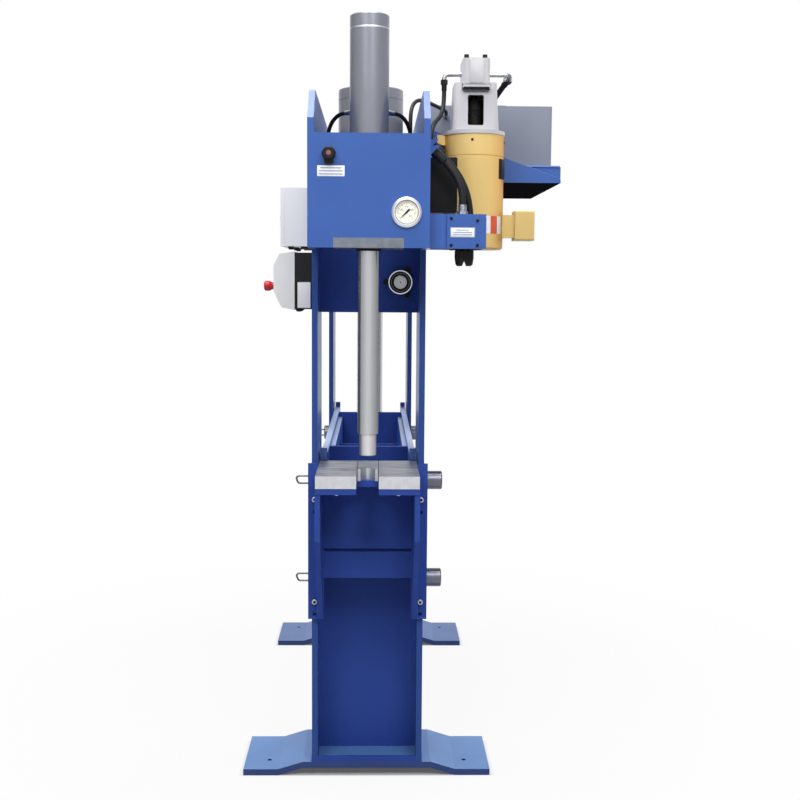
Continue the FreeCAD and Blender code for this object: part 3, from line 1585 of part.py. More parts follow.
def pump():
    """A gear pump: square flange, waisted joint, body with chamfered corners, two plugs on top, and its shaft."""
    half_width, half_depth = "pump_width / 2", "pump_depth / 2"
    middle = "(-motor_place - pump_forward)"
    base = block(
        "pump_flange",
        "motor_across - %s" % half_width,
        "motor_across + %s" % half_width,
        "%s - %s" % (middle, half_depth),
        "%s + %s" % (middle, half_depth),
        PUMP_SEAT,
        PUMP_SEAT + " + pump_flange_thick",
    )
    waist_top = "%s + pump_flange_thick + 3" % PUMP_SEAT
    waist = block(
        "pump_joint",
        "motor_across - %s + pump_waist" % half_width,
        "motor_across + %s - pump_waist" % half_width,
        "%s - %s + pump_waist" % (middle, half_depth),
        "%s + %s - pump_waist" % (middle, half_depth),
        "%s + pump_flange_thick" % PUMP_SEAT,
        waist_top,
    )
    body = new_body("pump_casting")
    outline = rectangle(mirrored(half_width), half_width, mirrored(half_depth), half_depth)
    pad(body, sketch(body, "XY", [outline]), "pump_height - pump_flange_thick - 3", both_ways=False)
    round_edges(body, "pump_chamfer", lambda e: runs_along(e, 2), "Chamfer")
    place(body, "motor_across", middle, waist_top)
    top = PUMP_SEAT + " + pump_height"
    plugs = []
    for count, shift in enumerate(("-30", "28")):
        across = "motor_across + " + shift
        plugs.append(bar("pump_plug_%d" % count, "pump_plug", "pump_plug", across, middle + " - 35", top))
    return node(weld("pump_body", [base, waist, body] + plugs))


# ---------------------------------------------------------------- tank, tray and cabinet


def oil_tank():
    """A sheet-steel tank with rounded corners and a filler neck on top."""
    outer = new_body("tank_shell")
    outline = rectangle("tank_left", "tank_right", "-tank_near", "tank_far")
    pad(outer, sketch(outer, "XY", [outline], lift="tank_bottom"), "tank_top - tank_bottom", both_ways=False)
    round_edges(outer, "tank_corner", lambda e: runs_along(e, 2))
    neck = bar("tank_neck", "filler_neck", "filler_neck_height", "filler_across", "-filler_place", "tank_top")
    wall = "tank_wall"
    inside = block(
        "tank_inside",
        "tank_left + " + wall,
        "tank_right - " + wall,
        "-tank_near + " + wall,
        "tank_far - " + wall,
        "tank_bottom + " + wall,
        "tank_top - " + wall,
    )
    mouth = bar(
        "tank_mouth",
        "filler_neck - 8",
        "filler_neck_height + 2 * tank_wall",
        "filler_across",
        "-filler_place",
        "tank_top - 1.5 * tank_wall",
    )
    return node(cut("oil_tank", weld("tank_body", [outer, neck]), weld("tank_void", [inside, mouth])))


def filler_cap():
    """The breather cap that turns on the filler neck, with grip flutes round its rim."""
    neck, cap = "(filler_neck / 2 + loose)", "filler_cap / 2"
    low = "2"
    outline = [
        (neck, low),
        (cap, low),
        (cap, "filler_cap_height - 6"),
        (cap + " - 6", "filler_cap_height"),
        ("0", "filler_cap_height"),
        ("0", "filler_neck_height + 1"),
        (neck, "filler_neck_height + 1"),
    ]
    body = turned("filler_cap", outline, "filler_across", "-filler_place", "tank_top")
    flute = sketch(body, "XY", circles=[("filler_cap / 2 + 2", "0", "10")], lift="filler_cap_height")
    first = pocket(body, flute, "filler_cap_height")
    ring = body.newObject("PartDesign::PolarPattern", "filler_cap_flutes")
    ring.Originals = [first]
    ring.Axis = (flute, ["N_Axis"])
    ring.Angle = 360
    ring.Occurrences = 12
    body.Tip = ring
    return node(body)


def tank_tray():
    """The folded tray that the tank stands in, welded to the frame plate with a sloping gusset at each end."""
    left, right, near, far = PLATE_OUTER, "tray_right", "-tray_near", "tray_far"
    floor_low, floor_top = "(tank_bottom - tray_sheet)", "tank_bottom"
    outer = block("tray_outer", left, right, near, far, floor_low, "tray_lip")
    inner = block(
        "tray_inner",
        left + " + tray_sheet",
        "tray_right - tray_sheet",
        "-tray_near + tray_sheet",
        "tray_far - tray_sheet",
        floor_top,
        "tray_lip",
    )
    folded = cut("tray_sheet_metal", outer, inner)
    outline = [
        (left, floor_low),
        (right, floor_low),
        (right, floor_low + " + tray_gusset_end"),
        (left, floor_low + " + tray_gusset_rise"),
    ]
    gussets = [
        plate("tray_gusset_near", "XZ", outline, "tray_gusset_thick", along="-tray_near - tray_gusset_thick / 2"),
        plate("tray_gusset_far", "XZ", outline, "tray_gusset_thick", along="tray_far + tray_gusset_thick / 2"),
    ]
    return node(weld("tank_tray", [folded] + gussets))


def hinge_places():
    return ("cabinet_bottom + knuckle_place", "cabinet_top - knuckle_place")


def cabinet():
    """The electric cabinet on the operator's side: an open box and a tray-shaped door on two lift-off hinges."""
    wall = "cabinet_wall"
    mouth = "-(cabinet_reach - door_depth)"
    near, far, low, high = "-cabinet_near", "cabinet_far", "cabinet_bottom", "cabinet_top"
    outer = block("cabinet_outer", mouth, mirrored(PLATE_OUTER), near, far, low, high)
    inner = block(
        "cabinet_inner",
        mouth,
        "%s - %s" % (mirrored(PLATE_OUTER), wall),
        "%s + %s" % (near, wall),
        "%s - %s" % (far, wall),
        "%s + %s" % (low, wall),
        "%s - %s" % (high, wall),
    )
    hinge_along = "cabinet_far + knuckle / 2 + 0.5"
    hinge_across = "-(cabinet_reach - door_depth / 2 - 1)"
    knuckles, door_knuckles = [], []
    for count, up in enumerate(hinge_places()):
        lower = bar("fixed_knuckle_%d" % count, "knuckle", "knuckle_length", hinge_across, hinge_along, up)
        bore = "hinge_pin + 2 * running"
        hole = bar("fixed_knuckle_bore_%d" % count, bore, "knuckle_length", hinge_across, hinge_along, up)
        leaf = block(
            "fixed_leaf_%d" % count,
            hinge_across + " + knuckle / 4",
            hinge_across + " + knuckle / 2 + 14",
            "cabinet_far",
            "cabinet_far + 4",
            up,
            up + " + knuckle_length",
        )
        knuckles.append(cut("fixed_hinge_%d" % count, weld("fixed_hinge_solid_%d" % count, [lower, leaf]), hole))
        upper_start = up + " + knuckle_length + loose"
        upper = bar("door_knuckle_%d" % count, "knuckle", "knuckle_length", hinge_across, hinge_along, upper_start)
        pin = bar("door_pin_%d" % count, "hinge_pin", "knuckle_length", hinge_across, hinge_along, up + " + 4")
        tab = block(
            "door_leaf_%d" % count,
            hinge_across + " - 3",
            hinge_across,
            "cabinet_far - 10",
            hinge_along,
            upper_start,
            upper_start + " + knuckle_length",
        )
        door_knuckles += [upper, pin, tab]
    node(weld("cabinet_box", [cut("cabinet_shell", outer, inner)] + knuckles))
    door_mouth = "%s - door_play" % mouth
    face = block("door_outer", "-cabinet_reach", door_mouth, near, far, low, high)
    hollow = block(
        "door_inner",
        "-cabinet_reach + %s" % wall,
        door_mouth,
        "%s + 2 * %s" % (near, wall),
        "%s - 4 * %s" % (far, wall),
        "%s + 2 * %s" % (low, wall),
        "%s - 2 * %s" % (high, wall),
    )
    node(weld("cabinet_door", [cut("door_shell", face, hollow)] + door_knuckles))


def console():
    """The operator's console on the near upright: a black back box and a many-sided light cover with its buttons."""
    near, far = "console_near", "console_far"
    back = block(
        "console_back",
        "-console_back_reach",
        mirrored(PLATE_OUTER),
        mirrored(near),
        mirrored(far),
        "console_bottom + console_inset",
        "console_top - console_inset",
    )
    node(back)
    cover = new_body("console_cover")
    outline = [
        ("-console_back_reach", "console_bottom"),
        ("-console_back_reach", "console_top"),
        ("-(console_reach - 18)", "console_top - 7"),
        ("-console_reach", "console_top - 43"),
        ("-console_reach", "console_bottom + 57"),
        ("-(console_reach - 24)", "console_bottom + 8"),
    ]
    pad(cover, sketch(cover, "XZ", [outline], lift=far), "%s - %s" % (near, far), both_ways=False)
    middle = "(-(console_near + console_far) / 2)"
    bores = [(middle, "estop_up", "estop_neck + 2 * loose"), (middle, "button_up", "button_size + 2 * loose")]
    depth = "button_travel + 22"
    hole_sketch = sketch(cover, "YZ", circles=bores, lift="-console_reach")
    pocket(cover, hole_sketch, depth).Reversed = True
    node(cover)
    neck, head = "estop_neck / 2", "estop_size / 2"
    reach = "estop_stand"
    estop = [
        ("0", "-16"),
        (neck, "-16"),
        (neck, "10"),
        (head, reach + " - 16"),
        (head, reach + " - 4"),
        (head + " - 4", reach),
        ("0", reach),
    ]
    node(turned("estop_button", estop, "-console_reach", middle, "estop_up", TOWARDS_OPERATOR))
    button = "button_size / 2"
    outline = [
        ("0", "-16"),
        (button, "-16"),
        (button, "button_stand - 1"),
        (button + " - 1", "button_stand"),
        ("0", "button_stand"),
    ]
    node(turned("cycle_button", outline, "-console_reach", middle, "button_up", TOWARDS_OPERATOR))


# ---------------------------------------------------------------- hoses and their fittings


def rounded_path(corners, bend=None):
    """Straight runs joined by tangent arcs, as large as the two runs allow or of a given radius."""
    edges, radii = [], []
    start = corners[0]
    for before, corner, after in zip(corners, corners[1:], corners[2:]):
        into, out = corner - before, after - corner
        shorter = min(into.Length, out.Length)
        half_turn = into.getAngle(out) / 2
        into.normalize()
        out.normalize()
        radius = 0.45 * shorter / math.tan(half_turn) if bend is None else bend
        reach = radius * math.tan(half_turn)
        begin, end = corner - into * reach, corner + out * reach
        inward = (out - into).normalize()
        middle = corner + inward * (radius / math.cos(half_turn) - radius)
        edges.append(Part.LineSegment(start, begin).toShape())
        edges.append(Part.Arc(begin, middle, end).toShape())
        radii.append(radius)
        start = end
    edges.append(Part.LineSegment(start, corners[-1]).toShape())
    return Part.Wire(edges), radii


def swept_tube(path, start, direction, diameter):
    """A round solid along a path of runs and arcs; its volume has to be its section times its length."""
    ring = Part.Wire([Part.Circle(start, direction, diameter / 2).toShape()])
    solid = path.makePipeShell([ring], True, False)
    expected = math.pi * diameter**2 / 4 * path.Length
    if abs(solid.Volume - expected) > 0.01 * expected:
        raise ValueError("a tube's volume is %.0f and not %.0f" % (solid.Volume, expected))
    return solid


class Port:
    """Where a hose meets a part: its root, the surface its fitting stands on, and the way out of it."""

    def __init__(self, across, along, up, outward, standoff="0"):
        self.outward = Vector(*outward).normalize()
        self.root = Vector(number(across), number(along), number(up))
        self.surface = self.root + self.outward * number(standoff)
        self.hose_end = self.surface + self.outward * number("fitting_length")


def hose_ports():
    """For every hose its size, its ports, how far its curve holds on from each, as a share of the gap, and any points
    that draw it over what lies between."""
    corner = "sqrt(0.5) * (side_bore / 2 + side_wall + barrel_boss_height)"
    barrel = [
        Port("%d * %s" % (side, corner), "%s - %s" % (corner, SIDE_AXIS), "barrel_port_up", (side, 1, 0))
        for side in (-1, 1)
    ]
    left_block = Port("-port_across", "-port_place", "left_block_top", (0, 0, 1))
    inner_block = Port("port_across", "-port_place", "inner_block_top", (0, 0, 1))
    inner_return = Port("port_across", "-return_place", "inner_block_top", (0, 0, 1))
    manifold_top = Port("manifold_port_across", "-(manifold_front - 100)", "manifold_top", (0, 0, 1))
    outlets = [
        Port(
            PLATE_OUTER + " + outlet_size / 2",
            "-outlet_%s_place" % name,
            "outlet_%s_top - outlet_size / 2" % name,
            (1, 0, -1),
        )
        for name in ("front", "rear")
    ]
    valve_port = Port("valve_port_across", "-valve_port_place", "head_bottom + valve_height - valve_wall", (0, 0, 1))
    rear_port = Port("rear_port_across", "-rear_port_place", "rear_block_top", (0, 0, 1))
    tank_return = Port("tank_left + 66", "-tank_near", "tank_top - 34", (0, -1, 0))
    tank_suction = Port("tank_left + 190", "-tank_near", "tank_top - 41", (0, -1, 0))
    pressure, suction = pump_elbow_ports()
    over_web = ("port_across - 33", "-return_place + 22", "tank_top - 29")
    over_plate = (PLATE_OUTER + " + 36", "-return_place + 169", "tank_top - 28")
    return {
        "side_hose_left": ("thin_hose", barrel[0], left_block, 0.35, 0.45),
        "side_hose_right": ("thin_hose", barrel[1], inner_block, 0.5, 0.2),
        "return_hose": ("thin_hose", inner_return, tank_return, 0.51, 0.06, over_web, over_plate),
        "pressure_hose": ("pump_hose", pressure, manifold_top, 0.45, 0.45),
        "suction_hose": ("suction_hose", suction, tank_suction, 0.3, 0.45),
        "valve_hose_front": ("valve_hose", outlets[0], valve_port, 0.35, 0.35),
        "valve_hose_rear": ("valve_hose", outlets[1], rear_port, 0.35, 0.35),
    }


def pump_elbow_ports():
    """The free ends of the two bent pipes on the pump's sides: one turned down, one away from the near end."""
    up = "%s + pump_port_rise" % PUMP_SEAT
    half = "pump_width / 2"
    down = Port("motor_across - %s - elbow_reach" % half, "-motor_place", up, (0, 0, -1), "pipe_size * 1.2")
    right = "motor_across + %s + suction_elbow_reach" % half
    back = Port(right, "-motor_place", up, (-0.3, 0.85, -0.4), "pipe_size * 1.6")
    return down, back


def hose_corners(start, end, start_reach, end_reach, *drawn_to, count=8):
    """Corners of a free curve that leaves both ports squarely, evenly spaced between its ends."""
    gap = (end.hose_end - start.hose_end).Length
    lead = 0.05 * gap
    first, last = start.hose_end + start.outward * lead, end.hose_end + end.outward * lead
    curve = Part.BezierCurve()
    middle = [Vector(*[number(value) for value in point]) for point in drawn_to]
    leaving, arriving = first + start.outward * start_reach * gap, last + end.outward * end_reach * gap
    curve.setPoles([first, leaving, *middle, arriving, last])
    evenly = curve.discretize(Number=2 * count + 1)[1::2]
    evenly[0] = start.hose_end + start.outward * (evenly[0] - start.hose_end).dot(start.outward)
    evenly[-1] = end.hose_end + end.outward * (evenly[-1] - end.hose_end).dot(end.outward)
    return [start.hose_end, *evenly, end.hose_end]


def hose(name, size, corners):
    path, radii = rounded_path(corners)
    made = doc.addObject("Part::Feature", name)
    made.Label = name
    made.Shape = swept_tube(path, corners[0], corners[1] - corners[0], number(size))
    diameter = number(size)
    print("%s: %.0f mm long, %.0f mm across, tightest arc %.1f diameters" % (
        name, path.Length, diameter, min(radii) / diameter))
    print("    %s" % [tuple(round(value, 1) for value in corner) for corner in corners])
    return made


def fitting(label, size, port):
    """A hexagonal union on a port and the ferrule that holds the hose's end."""
    turn = Rotation(Vector(0, 0, 1), port.outward)
    union = doc.addObject("Part::Prism", label + "_union")
    union.Polygon = 6
    bind(union, "Circumradius", "%s * 0.8" % size)
    bind(union, "Height", "fitting_length * 0.45")
    union.Placement = Placement(port.surface, turn)
    ferrule = doc.addObject("Part::Cylinder", label + "_ferrule")
    bind(ferrule, "Radius", "%s * 0.6" % size)
    bind(ferrule, "Height", "fitting_length * 0.55")
    ferrule.Placement = Placement(port.surface + port.outward * number("fitting_length * 0.45"), turn)
    return weld(label, [union, ferrule])


def pump_elbows():
    """A short bent pipe on each side of the pump, out of its body and round to its hose."""
    elbows = []
    up = number("%s + pump_port_rise" % PUMP_SEAT)
    for side, port in zip((-1, 1), pump_elbow_ports()):
        face = Vector(number("motor_across") + side * number("pump_width / 2"), -number("motor_place"), up)
        path, _ = rounded_path([face, port.root, port.surface], bend=number("pipe_size") * 0.9)
        elbow = doc.addObject("Part::Feature", "pump_elbow_%s" % ("left" if side < 0 else "right"))
        elbow.Shape = swept_tube(path, face, port.root - face, number("pipe_size"))
        elbows.append(elbow)
    return elbows


def thin_pipes():
    """The straight pipes from the inner blocks to the backs of the gauge and the regulator."""
    pipes = []
    for name, back in (
        ("gauge", "-(nose_reach - gauge_case_depth)"),
        ("regulator", "-(nose_reach - end_plate_thick - regulator_block_depth)"),
    ):
        length = "-inner_block_near - (%s)" % back
        along_frame = Rotation(Vector(1, 0, 0), -90)
        pipes.append(bar(name + "_pipe", "thin_pipe", length, name + "_across", back, name + "_up", along_frame))
    return pipes


def hoses():
    made, fittings = {}, []
    for name, (size, start, end, *curve) in hose_ports().items():
        made[name] = hose(name, size, hose_corners(start, end, *curve))
        for which, port in (("start", start), ("end", end)):
            fittings.append(fitting("%s_%s" % (name, which), size, port))
    node(collect("side_hoses", [made["side_hose_left"], made["side_hose_right"]]))
    for name in ("return_hose", "pressure_hose", "suction_hose"):
        node(made[name])
    node(collect("valve_hoses", [made["valve_hose_front"], made["valve_hose_rear"]]))
    node(collect("hose_fittings", fittings + pump_elbows() + thin_pipes()))


BUILDERS = (
    portal_frame, head_end_plate, bed, bed_pins, cylinder_seats, main_cylinder, main_ram, side_cylinder, side_ram,
    rod_seals, table_bracket, table_blocks, table_screws, pressure_gauge, regulator, web_bearing, valve_box,
    control_valve, selector_knob, manifold, motor_housing, plate_brackets, motor_rotor, terminal_box, bell_housing,
    coupling, pump, oil_tank, filler_cap, tank_tray, cabinet, console, hoses,
)


def check_model():
    """Every object has to be sound, every cut has to remove something, and every sub-part has to be a valid shape."""
    faults = []
    for thing in doc.Objects:
        if "Invalid" in thing.State or "Error" in thing.State:
            faults.append("%s is %s" % (thing.Label, ", ".join(thing.State)))
        if thing.TypeId in ("PartDesign::Pocket", "PartDesign::Groove"):
            if thing.Shape.Volume >= thing.BaseFeature.Shape.Volume - 1e-3:
                faults.append("%s cuts nothing" % thing.Label)
    for thing in nodes:
        if thing.Shape.isNull() or not thing.Shape.isValid() or not thing.Shape.Solids:
            faults.append("%s has no valid shape" % thing.Label)
    if faults:
        raise ValueError("; ".join(faults))


def main():
    for build in BUILDERS:
        build()
    doc.recompute()
    check_model()
    os.makedirs("parts", exist_ok=True)
    for thing in nodes:
        thing.Shape.exportStep("parts/%s.step" % thing.Label)
    print("%d sub-parts" % len(nodes))


main()
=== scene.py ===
import math

import bmesh
import bpy
from mathutils import Matrix, Vector


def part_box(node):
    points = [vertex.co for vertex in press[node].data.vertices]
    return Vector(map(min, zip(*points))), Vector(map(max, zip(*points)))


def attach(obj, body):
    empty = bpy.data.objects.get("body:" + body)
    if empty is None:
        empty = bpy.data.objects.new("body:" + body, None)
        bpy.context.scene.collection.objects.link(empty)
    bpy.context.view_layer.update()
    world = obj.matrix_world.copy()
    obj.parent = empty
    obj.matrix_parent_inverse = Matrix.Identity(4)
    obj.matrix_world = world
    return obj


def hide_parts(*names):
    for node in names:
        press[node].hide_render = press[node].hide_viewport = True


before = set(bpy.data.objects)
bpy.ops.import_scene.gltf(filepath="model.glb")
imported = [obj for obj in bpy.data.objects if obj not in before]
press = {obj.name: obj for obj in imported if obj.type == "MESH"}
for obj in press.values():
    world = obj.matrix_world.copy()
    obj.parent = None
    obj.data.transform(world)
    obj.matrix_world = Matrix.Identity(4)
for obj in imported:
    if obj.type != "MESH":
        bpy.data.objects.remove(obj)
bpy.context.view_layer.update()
scene = bpy.context.scene

# The press stands on z=0, its near end towards -Y and its motor on the +X side. Lengths are in metres.
TOWARDS_FRONT = Vector((0, -1, 0))
UPWARDS = Vector((0, 0, 1))
DOWNWARDS = -UPWARDS
TOWARDS_BACK = -TOWARDS_FRONT


def middle_of(name):
    """The middle of a CAD node's box."""
    low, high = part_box(name)
    return (low + high) / 2


END_PLATE_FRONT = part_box("head_end_plate")[0].y
HEAD_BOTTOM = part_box("head_end_plate")[0].z
PLATE_MIDDLE = middle_of("frame_plate_rear").x
PLATE_OUTER_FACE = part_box("frame_plate_rear")[1].x
FOOT_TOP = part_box("feet")[1].z
TABLE_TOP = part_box("table_blocks")[1].z
TRAY_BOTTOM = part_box("tank_tray")[0].z
KNOB_AXIS = middle_of("regulator_body")
MOTOR_AXIS = middle_of("motor_rotor") * Vector((1, 1, 0))


# ---------------------------------------------------------------- finishes

def tint(red, green, blue):
    """A screen colour, 0 to 255, as the shader's linear colour."""
    linear = []
    for channel in (red, green, blue):
        share = channel / 255
        linear.append(share / 12.92 if share <= 0.04045 else ((share + 0.055) / 1.055) ** 2.4)
    return (*linear, 1)


def darker(colour, share):
    return (colour[0] * share, colour[1] * share, colour[2] * share, 1)


class Finish:
    """A material under construction: its shader, and the patterns that feed it, in the press's metres."""

    def __init__(self, name):
        self.material = bpy.data.materials.new(name)
        self.material.use_nodes = True
        self.nodes = self.material.node_tree.nodes
        self.links = self.material.node_tree.links
        self.shader = self.nodes["Principled BSDF"]
        self.metres = self.nodes.new("ShaderNodeTexCoord").outputs["Object"]

    def stretched(self, stretch):
        """The coordinates squeezed along some axes, so that a pattern runs out into lines along others."""
        mapping = self.nodes.new("ShaderNodeMapping")
        mapping.inputs["Scale"].default_value = stretch
        self.links.new(self.metres, mapping.inputs["Vector"])
        return mapping.outputs["Vector"]

    def noise(self, scale, detail=3, stretch=None):
        """A cloudy pattern with so many clouds to the metre."""
        node = self.nodes.new("ShaderNodeTexNoise")
        node.inputs["Scale"].default_value = scale
        node.inputs["Detail"].default_value = detail
        node.inputs["Roughness"].default_value = 0.55
        self.links.new(self.stretched(stretch) if stretch else self.metres, node.inputs["Vector"])
        return node.outputs["Fac"]

    def spread(self, source, low, high, start=0.3, end=0.7):
        """A pattern's middle range laid out between two values."""
        node = self.nodes.new("ShaderNodeMapRange")
        for name, value in (("From Min", start), ("From Max", end), ("To Min", low), ("To Max", high)):
            node.inputs[name].default_value = value
        self.links.new(source, node.inputs["Value"])
        return node.outputs["Result"]

    def between(self, source, first, second, start=0.3, end=0.7):
        """A colour that goes from the first to the second as the pattern rises."""
        ramp = self.nodes.new("ShaderNodeValToRGB")
        ramp.color_ramp.elements[0].position = start
        ramp.color_ramp.elements[0].color = first
        ramp.color_ramp.elements[1].position = end
        ramp.color_ramp.elements[1].color = second
        self.links.new(source, ramp.inputs["Fac"])
        return ramp.outputs["Color"]

    def reckon(self, operation, first, second=None):
        """One step of arithmetic on patterns or numbers."""
        node = self.nodes.new("ShaderNodeMath")
        node.operation = operation
        for entry, value in zip(node.inputs, (first, second)):
            if isinstance(value, (int, float)):
                entry.default_value = value
            elif value is not None:
                self.links.new(value, entry)
        return node.outputs[0]

    def along(self, axis, source=None):
        """Where a point lies along X, Y or Z, or how far another direction leans that way."""
        parts = self.nodes.new("ShaderNodeSeparateXYZ")
        self.links.new(source or self.metres, parts.inputs[0])
        return parts.outputs[axis]

    def facing_share(self, axis, test, level):
        """1 where the surface faces along an axis more than the level, as the test says, and 0 elsewhere."""
        facts = self.nodes.new("ShaderNodeNewGeometry")
        return self.reckon(test, self.along(axis, facts.outputs["Normal"]), level)

    def blend(self, share, first, second):
        """The first colour where the share is 0, the second where it is 1; each a pattern or one colour."""
        node = self.nodes.new("ShaderNodeMix")
        node.data_type = "RGBA"
        self.links.new(share, node.inputs["Factor"])
        for name, colour in (("A", first), ("B", second)):
            entry = next(i for i in node.inputs if i.name == name and i.type == "RGBA")
            if isinstance(colour, tuple):
                entry.default_value = colour
            else:
                self.links.new(colour, entry)
        return next(o for o in node.outputs if o.type == "RGBA")

    def colour(self, source):
        self.links.new(source, self.shader.inputs["Base Color"])

    def roughness(self, source):
        self.links.new(source, self.shader.inputs["Roughness"])

    def relief(self, source, height, strength):
        """Small bumps, their height in metres."""
        bump = self.nodes.new("ShaderNodeBump")
        bump.inputs["Strength"].default_value = strength
        bump.inputs["Distance"].default_value = height
        self.links.new(source, bump.inputs["Height"])
        self.links.new(bump.outputs["Normal"], self.shader.inputs["Normal"])


def shaded_tray_underside(paint):
    """The tank tray's underside, painted near black as painted shade."""
    skin = 0.0004
    return paint.reckon("LESS_THAN", paint.along("Z"), TRAY_BOTTOM + skin)


def shaded_leg_edges(paint):
    """The legs' near and far edges, below the head, where the frame's blue is painted darker: painted shade.
    """
    squarely = 0.9
    below = paint.reckon("LESS_THAN", paint.along("Z"), HEAD_BOTTOM)
    near = paint.facing_share("Y", "LESS_THAN", -squarely)
    far = paint.facing_share("Y", "GREATER_THAN", squarely)
    return paint.reckon("MULTIPLY", below, paint.reckon("MAXIMUM", near, far))


def lit_upper_faces(paint):
    """Faces that look up, where a lighter colour is painted light, a little unevenly, and less at the far
    end.
    """
    up = paint.facing_share("Z", "GREATER_THAN", 0.7)
    uneven = paint.spread(paint.noise(5, 1), 0.8, 1.0)
    toward_far_end = paint.spread(paint.along("Y"), 1.0, 0.5, -0.5, 0.5)
    return paint.reckon("MULTIPLY", up, paint.reckon("MULTIPLY", uneven, toward_far_end))


def knob_end(plastic):
    """The small disc in the middle of the regulator's knob."""
    disc_radius = 0.0068
    across = plastic.reckon("SUBTRACT", plastic.along("X"), KNOB_AXIS.x)
    up = plastic.reckon("SUBTRACT", plastic.along("Z"), KNOB_AXIS.z)
    across_squared = plastic.reckon("MULTIPLY", across, across)
    up_squared = plastic.reckon("MULTIPLY", up, up)
    return plastic.reckon("LESS_THAN", plastic.reckon("ADD", across_squared, up_squared), disc_radius ** 2)


def enamel(name, colour, rough, gloss=0.3, patch=0.9, flake=0.0, painted_light_patch=None, rim=None):
    """Sprayed enamel: faint clouds in its colour, uneven gloss, and the slight waviness of a sprayed coat.
    Flake is the share of metal powder in it. Where the painted patch's test gives 1, its colour and its
    gloss take
    over: painted light on faces that would stand in the light, painted shade on faces that would be in
    shade. Rim is
    painted shade: a deeper colour painted where the coat turns away from the eye, as a lit drum's sides go
    darker."""
    clouds, gloss_patches, waves, wave_height = 5.5, 9, 60, 0.00004
    paint = Finish(name)
    coat = paint.between(paint.noise(clouds), darker(colour, patch), colour, 0.25, 0.75)
    shine = paint.shader.inputs["Specular IOR Level"]
    shine.default_value = gloss
    if rim:
        turned = paint.nodes.new("ShaderNodeLayerWeight")
        coat = paint.blend(paint.spread(turned.outputs["Facing"], 0, 1, 0.15, 0.85), coat, rim)
    if painted_light_patch:
        test, painted_colour, painted_gloss = painted_light_patch
        there = test(paint)
        coat = paint.blend(there, coat, painted_colour)
        paint.links.new(paint.spread(there, gloss, painted_gloss, 0, 1), shine)
    paint.colour(coat)
    paint.roughness(paint.spread(paint.noise(gloss_patches), *rough, 0.25, 0.75))
    paint.relief(paint.noise(waves, 1), wave_height, 0.2)
    paint.shader.inputs["Metallic"].default_value = flake
    return paint.material


def turned_metal(name, colour, rough=(0.28, 0.4), stretch=(1, 1, 30), scale=55, height=0.00003, patch=0.78):
    """Bare metal with the fine lines that a lathe or a grinder leaves across its stretched axis."""
    metal = Finish(name)
    lines = metal.noise(scale, 4, stretch)
    metal.colour(metal.between(lines, darker(colour, patch), colour))
    metal.roughness(metal.spread(metal.noise(scale * 0.7, 3, stretch), *rough))
    metal.relief(lines, height, 0.5)
    metal.shader.inputs["Metallic"].default_value = 1.0
    return metal.material


def worn_table(name, colour, rough):
    """Ground steel with the dark smudges of use on its upper face, drawn out across the press."""
    skin, grinding_lines, smudges_per_metre = 0.0002, 60, 16
    steel = Finish(name)
    lines = steel.noise(grinding_lines, 4, (1, 12, 1))
    clean = steel.between(lines, darker(colour, 0.86), colour)
    smudges = steel.spread(steel.noise(smudges_per_metre, 4, (0.6, 1.6, 1)), 0, 0.85, 0.42, 0.72)
    upper = steel.reckon("GREATER_THAN", steel.along("Z"), TABLE_TOP - skin)
    steel.colour(steel.blend(steel.reckon("MULTIPLY", smudges, upper), clean, darker(colour, 0.3)))
    steel.roughness(steel.spread(steel.noise(grinding_lines * 0.7, 3, (1, 12, 1)), *rough))
    steel.relief(lines, 0.00003, 0.5)
    steel.shader.inputs["Metallic"].default_value = 1.0
    return steel.material


def fitting_metal(name, colour, black):
    """Zinc-plated fittings, and black ones where the valve hoses leave the head and hoses join the pump."""
    head_side, before_ears, over_valve_box = 0.17, -0.825, 1.8
    over_tank, under_pump_pipes = 2.14, 2.1992
    metal = Finish(name)
    lines = metal.noise(300, 4)
    beside = metal.reckon("GREATER_THAN", metal.along("X"), head_side)
    near = metal.reckon("LESS_THAN", metal.along("Y"), before_ears)
    above = metal.reckon("GREATER_THAN", metal.along("Z"), over_valve_box)
    at_head = metal.reckon("MULTIPLY", metal.reckon("MULTIPLY", beside, near), above)
    high = metal.reckon("GREATER_THAN", metal.along("Z"), over_tank)
    not_too_high = metal.reckon("LESS_THAN", metal.along("Z"), under_pump_pipes)
    blackened = metal.reckon("MAXIMUM", at_head, metal.reckon("MULTIPLY", high, not_too_high))
    plating = metal.between(lines, darker(colour, 0.35), colour, 0.42, 0.6)
    metal.colour(metal.blend(blackened, plating, black))
    metal.roughness(metal.spread(metal.noise(200), 0.28, 0.42))
    metal.relief(lines, 0.00003, 0.5)
    metal.links.new(metal.reckon("SUBTRACT", 1.0, blackened), metal.shader.inputs["Metallic"])
    metal.shader.inputs["Specular IOR Level"].default_value = 0.15
    return metal.material


def cast_iron(name, colour, rough):
    """A blackened casting's skin: grainy, a little uneven in shade."""
    metal = Finish(name)
    metal.colour(metal.between(metal.noise(30, 5), darker(colour, 0.82), colour))
    metal.roughness(metal.spread(metal.noise(60), *rough))
    metal.relief(metal.noise(320), 0.0002, 0.5)
    metal.shader.inputs["Specular IOR Level"].default_value = 0.15
    return metal.material


def moulding(name, colour, rough=(0.3, 0.45), grain=900, height=0.00005, specular=0.5, patch=None):
    """Moulded plastic or rubber with a fine grain. Where patch's test gives 1, its colour takes over."""
    plastic = Finish(name)
    shade = plastic.between(plastic.noise(40, 4), darker(colour, 0.85), colour)
    if patch:
        test, patch_colour = patch
        shade = plastic.blend(test(plastic), shade, patch_colour)
    plastic.colour(shade)
    plastic.roughness(plastic.spread(plastic.noise(25), *rough))
    plastic.relief(plastic.noise(grain, 2), height, 0.5)
    plastic.shader.inputs["Specular IOR Level"].default_value = specular
    return plastic.material


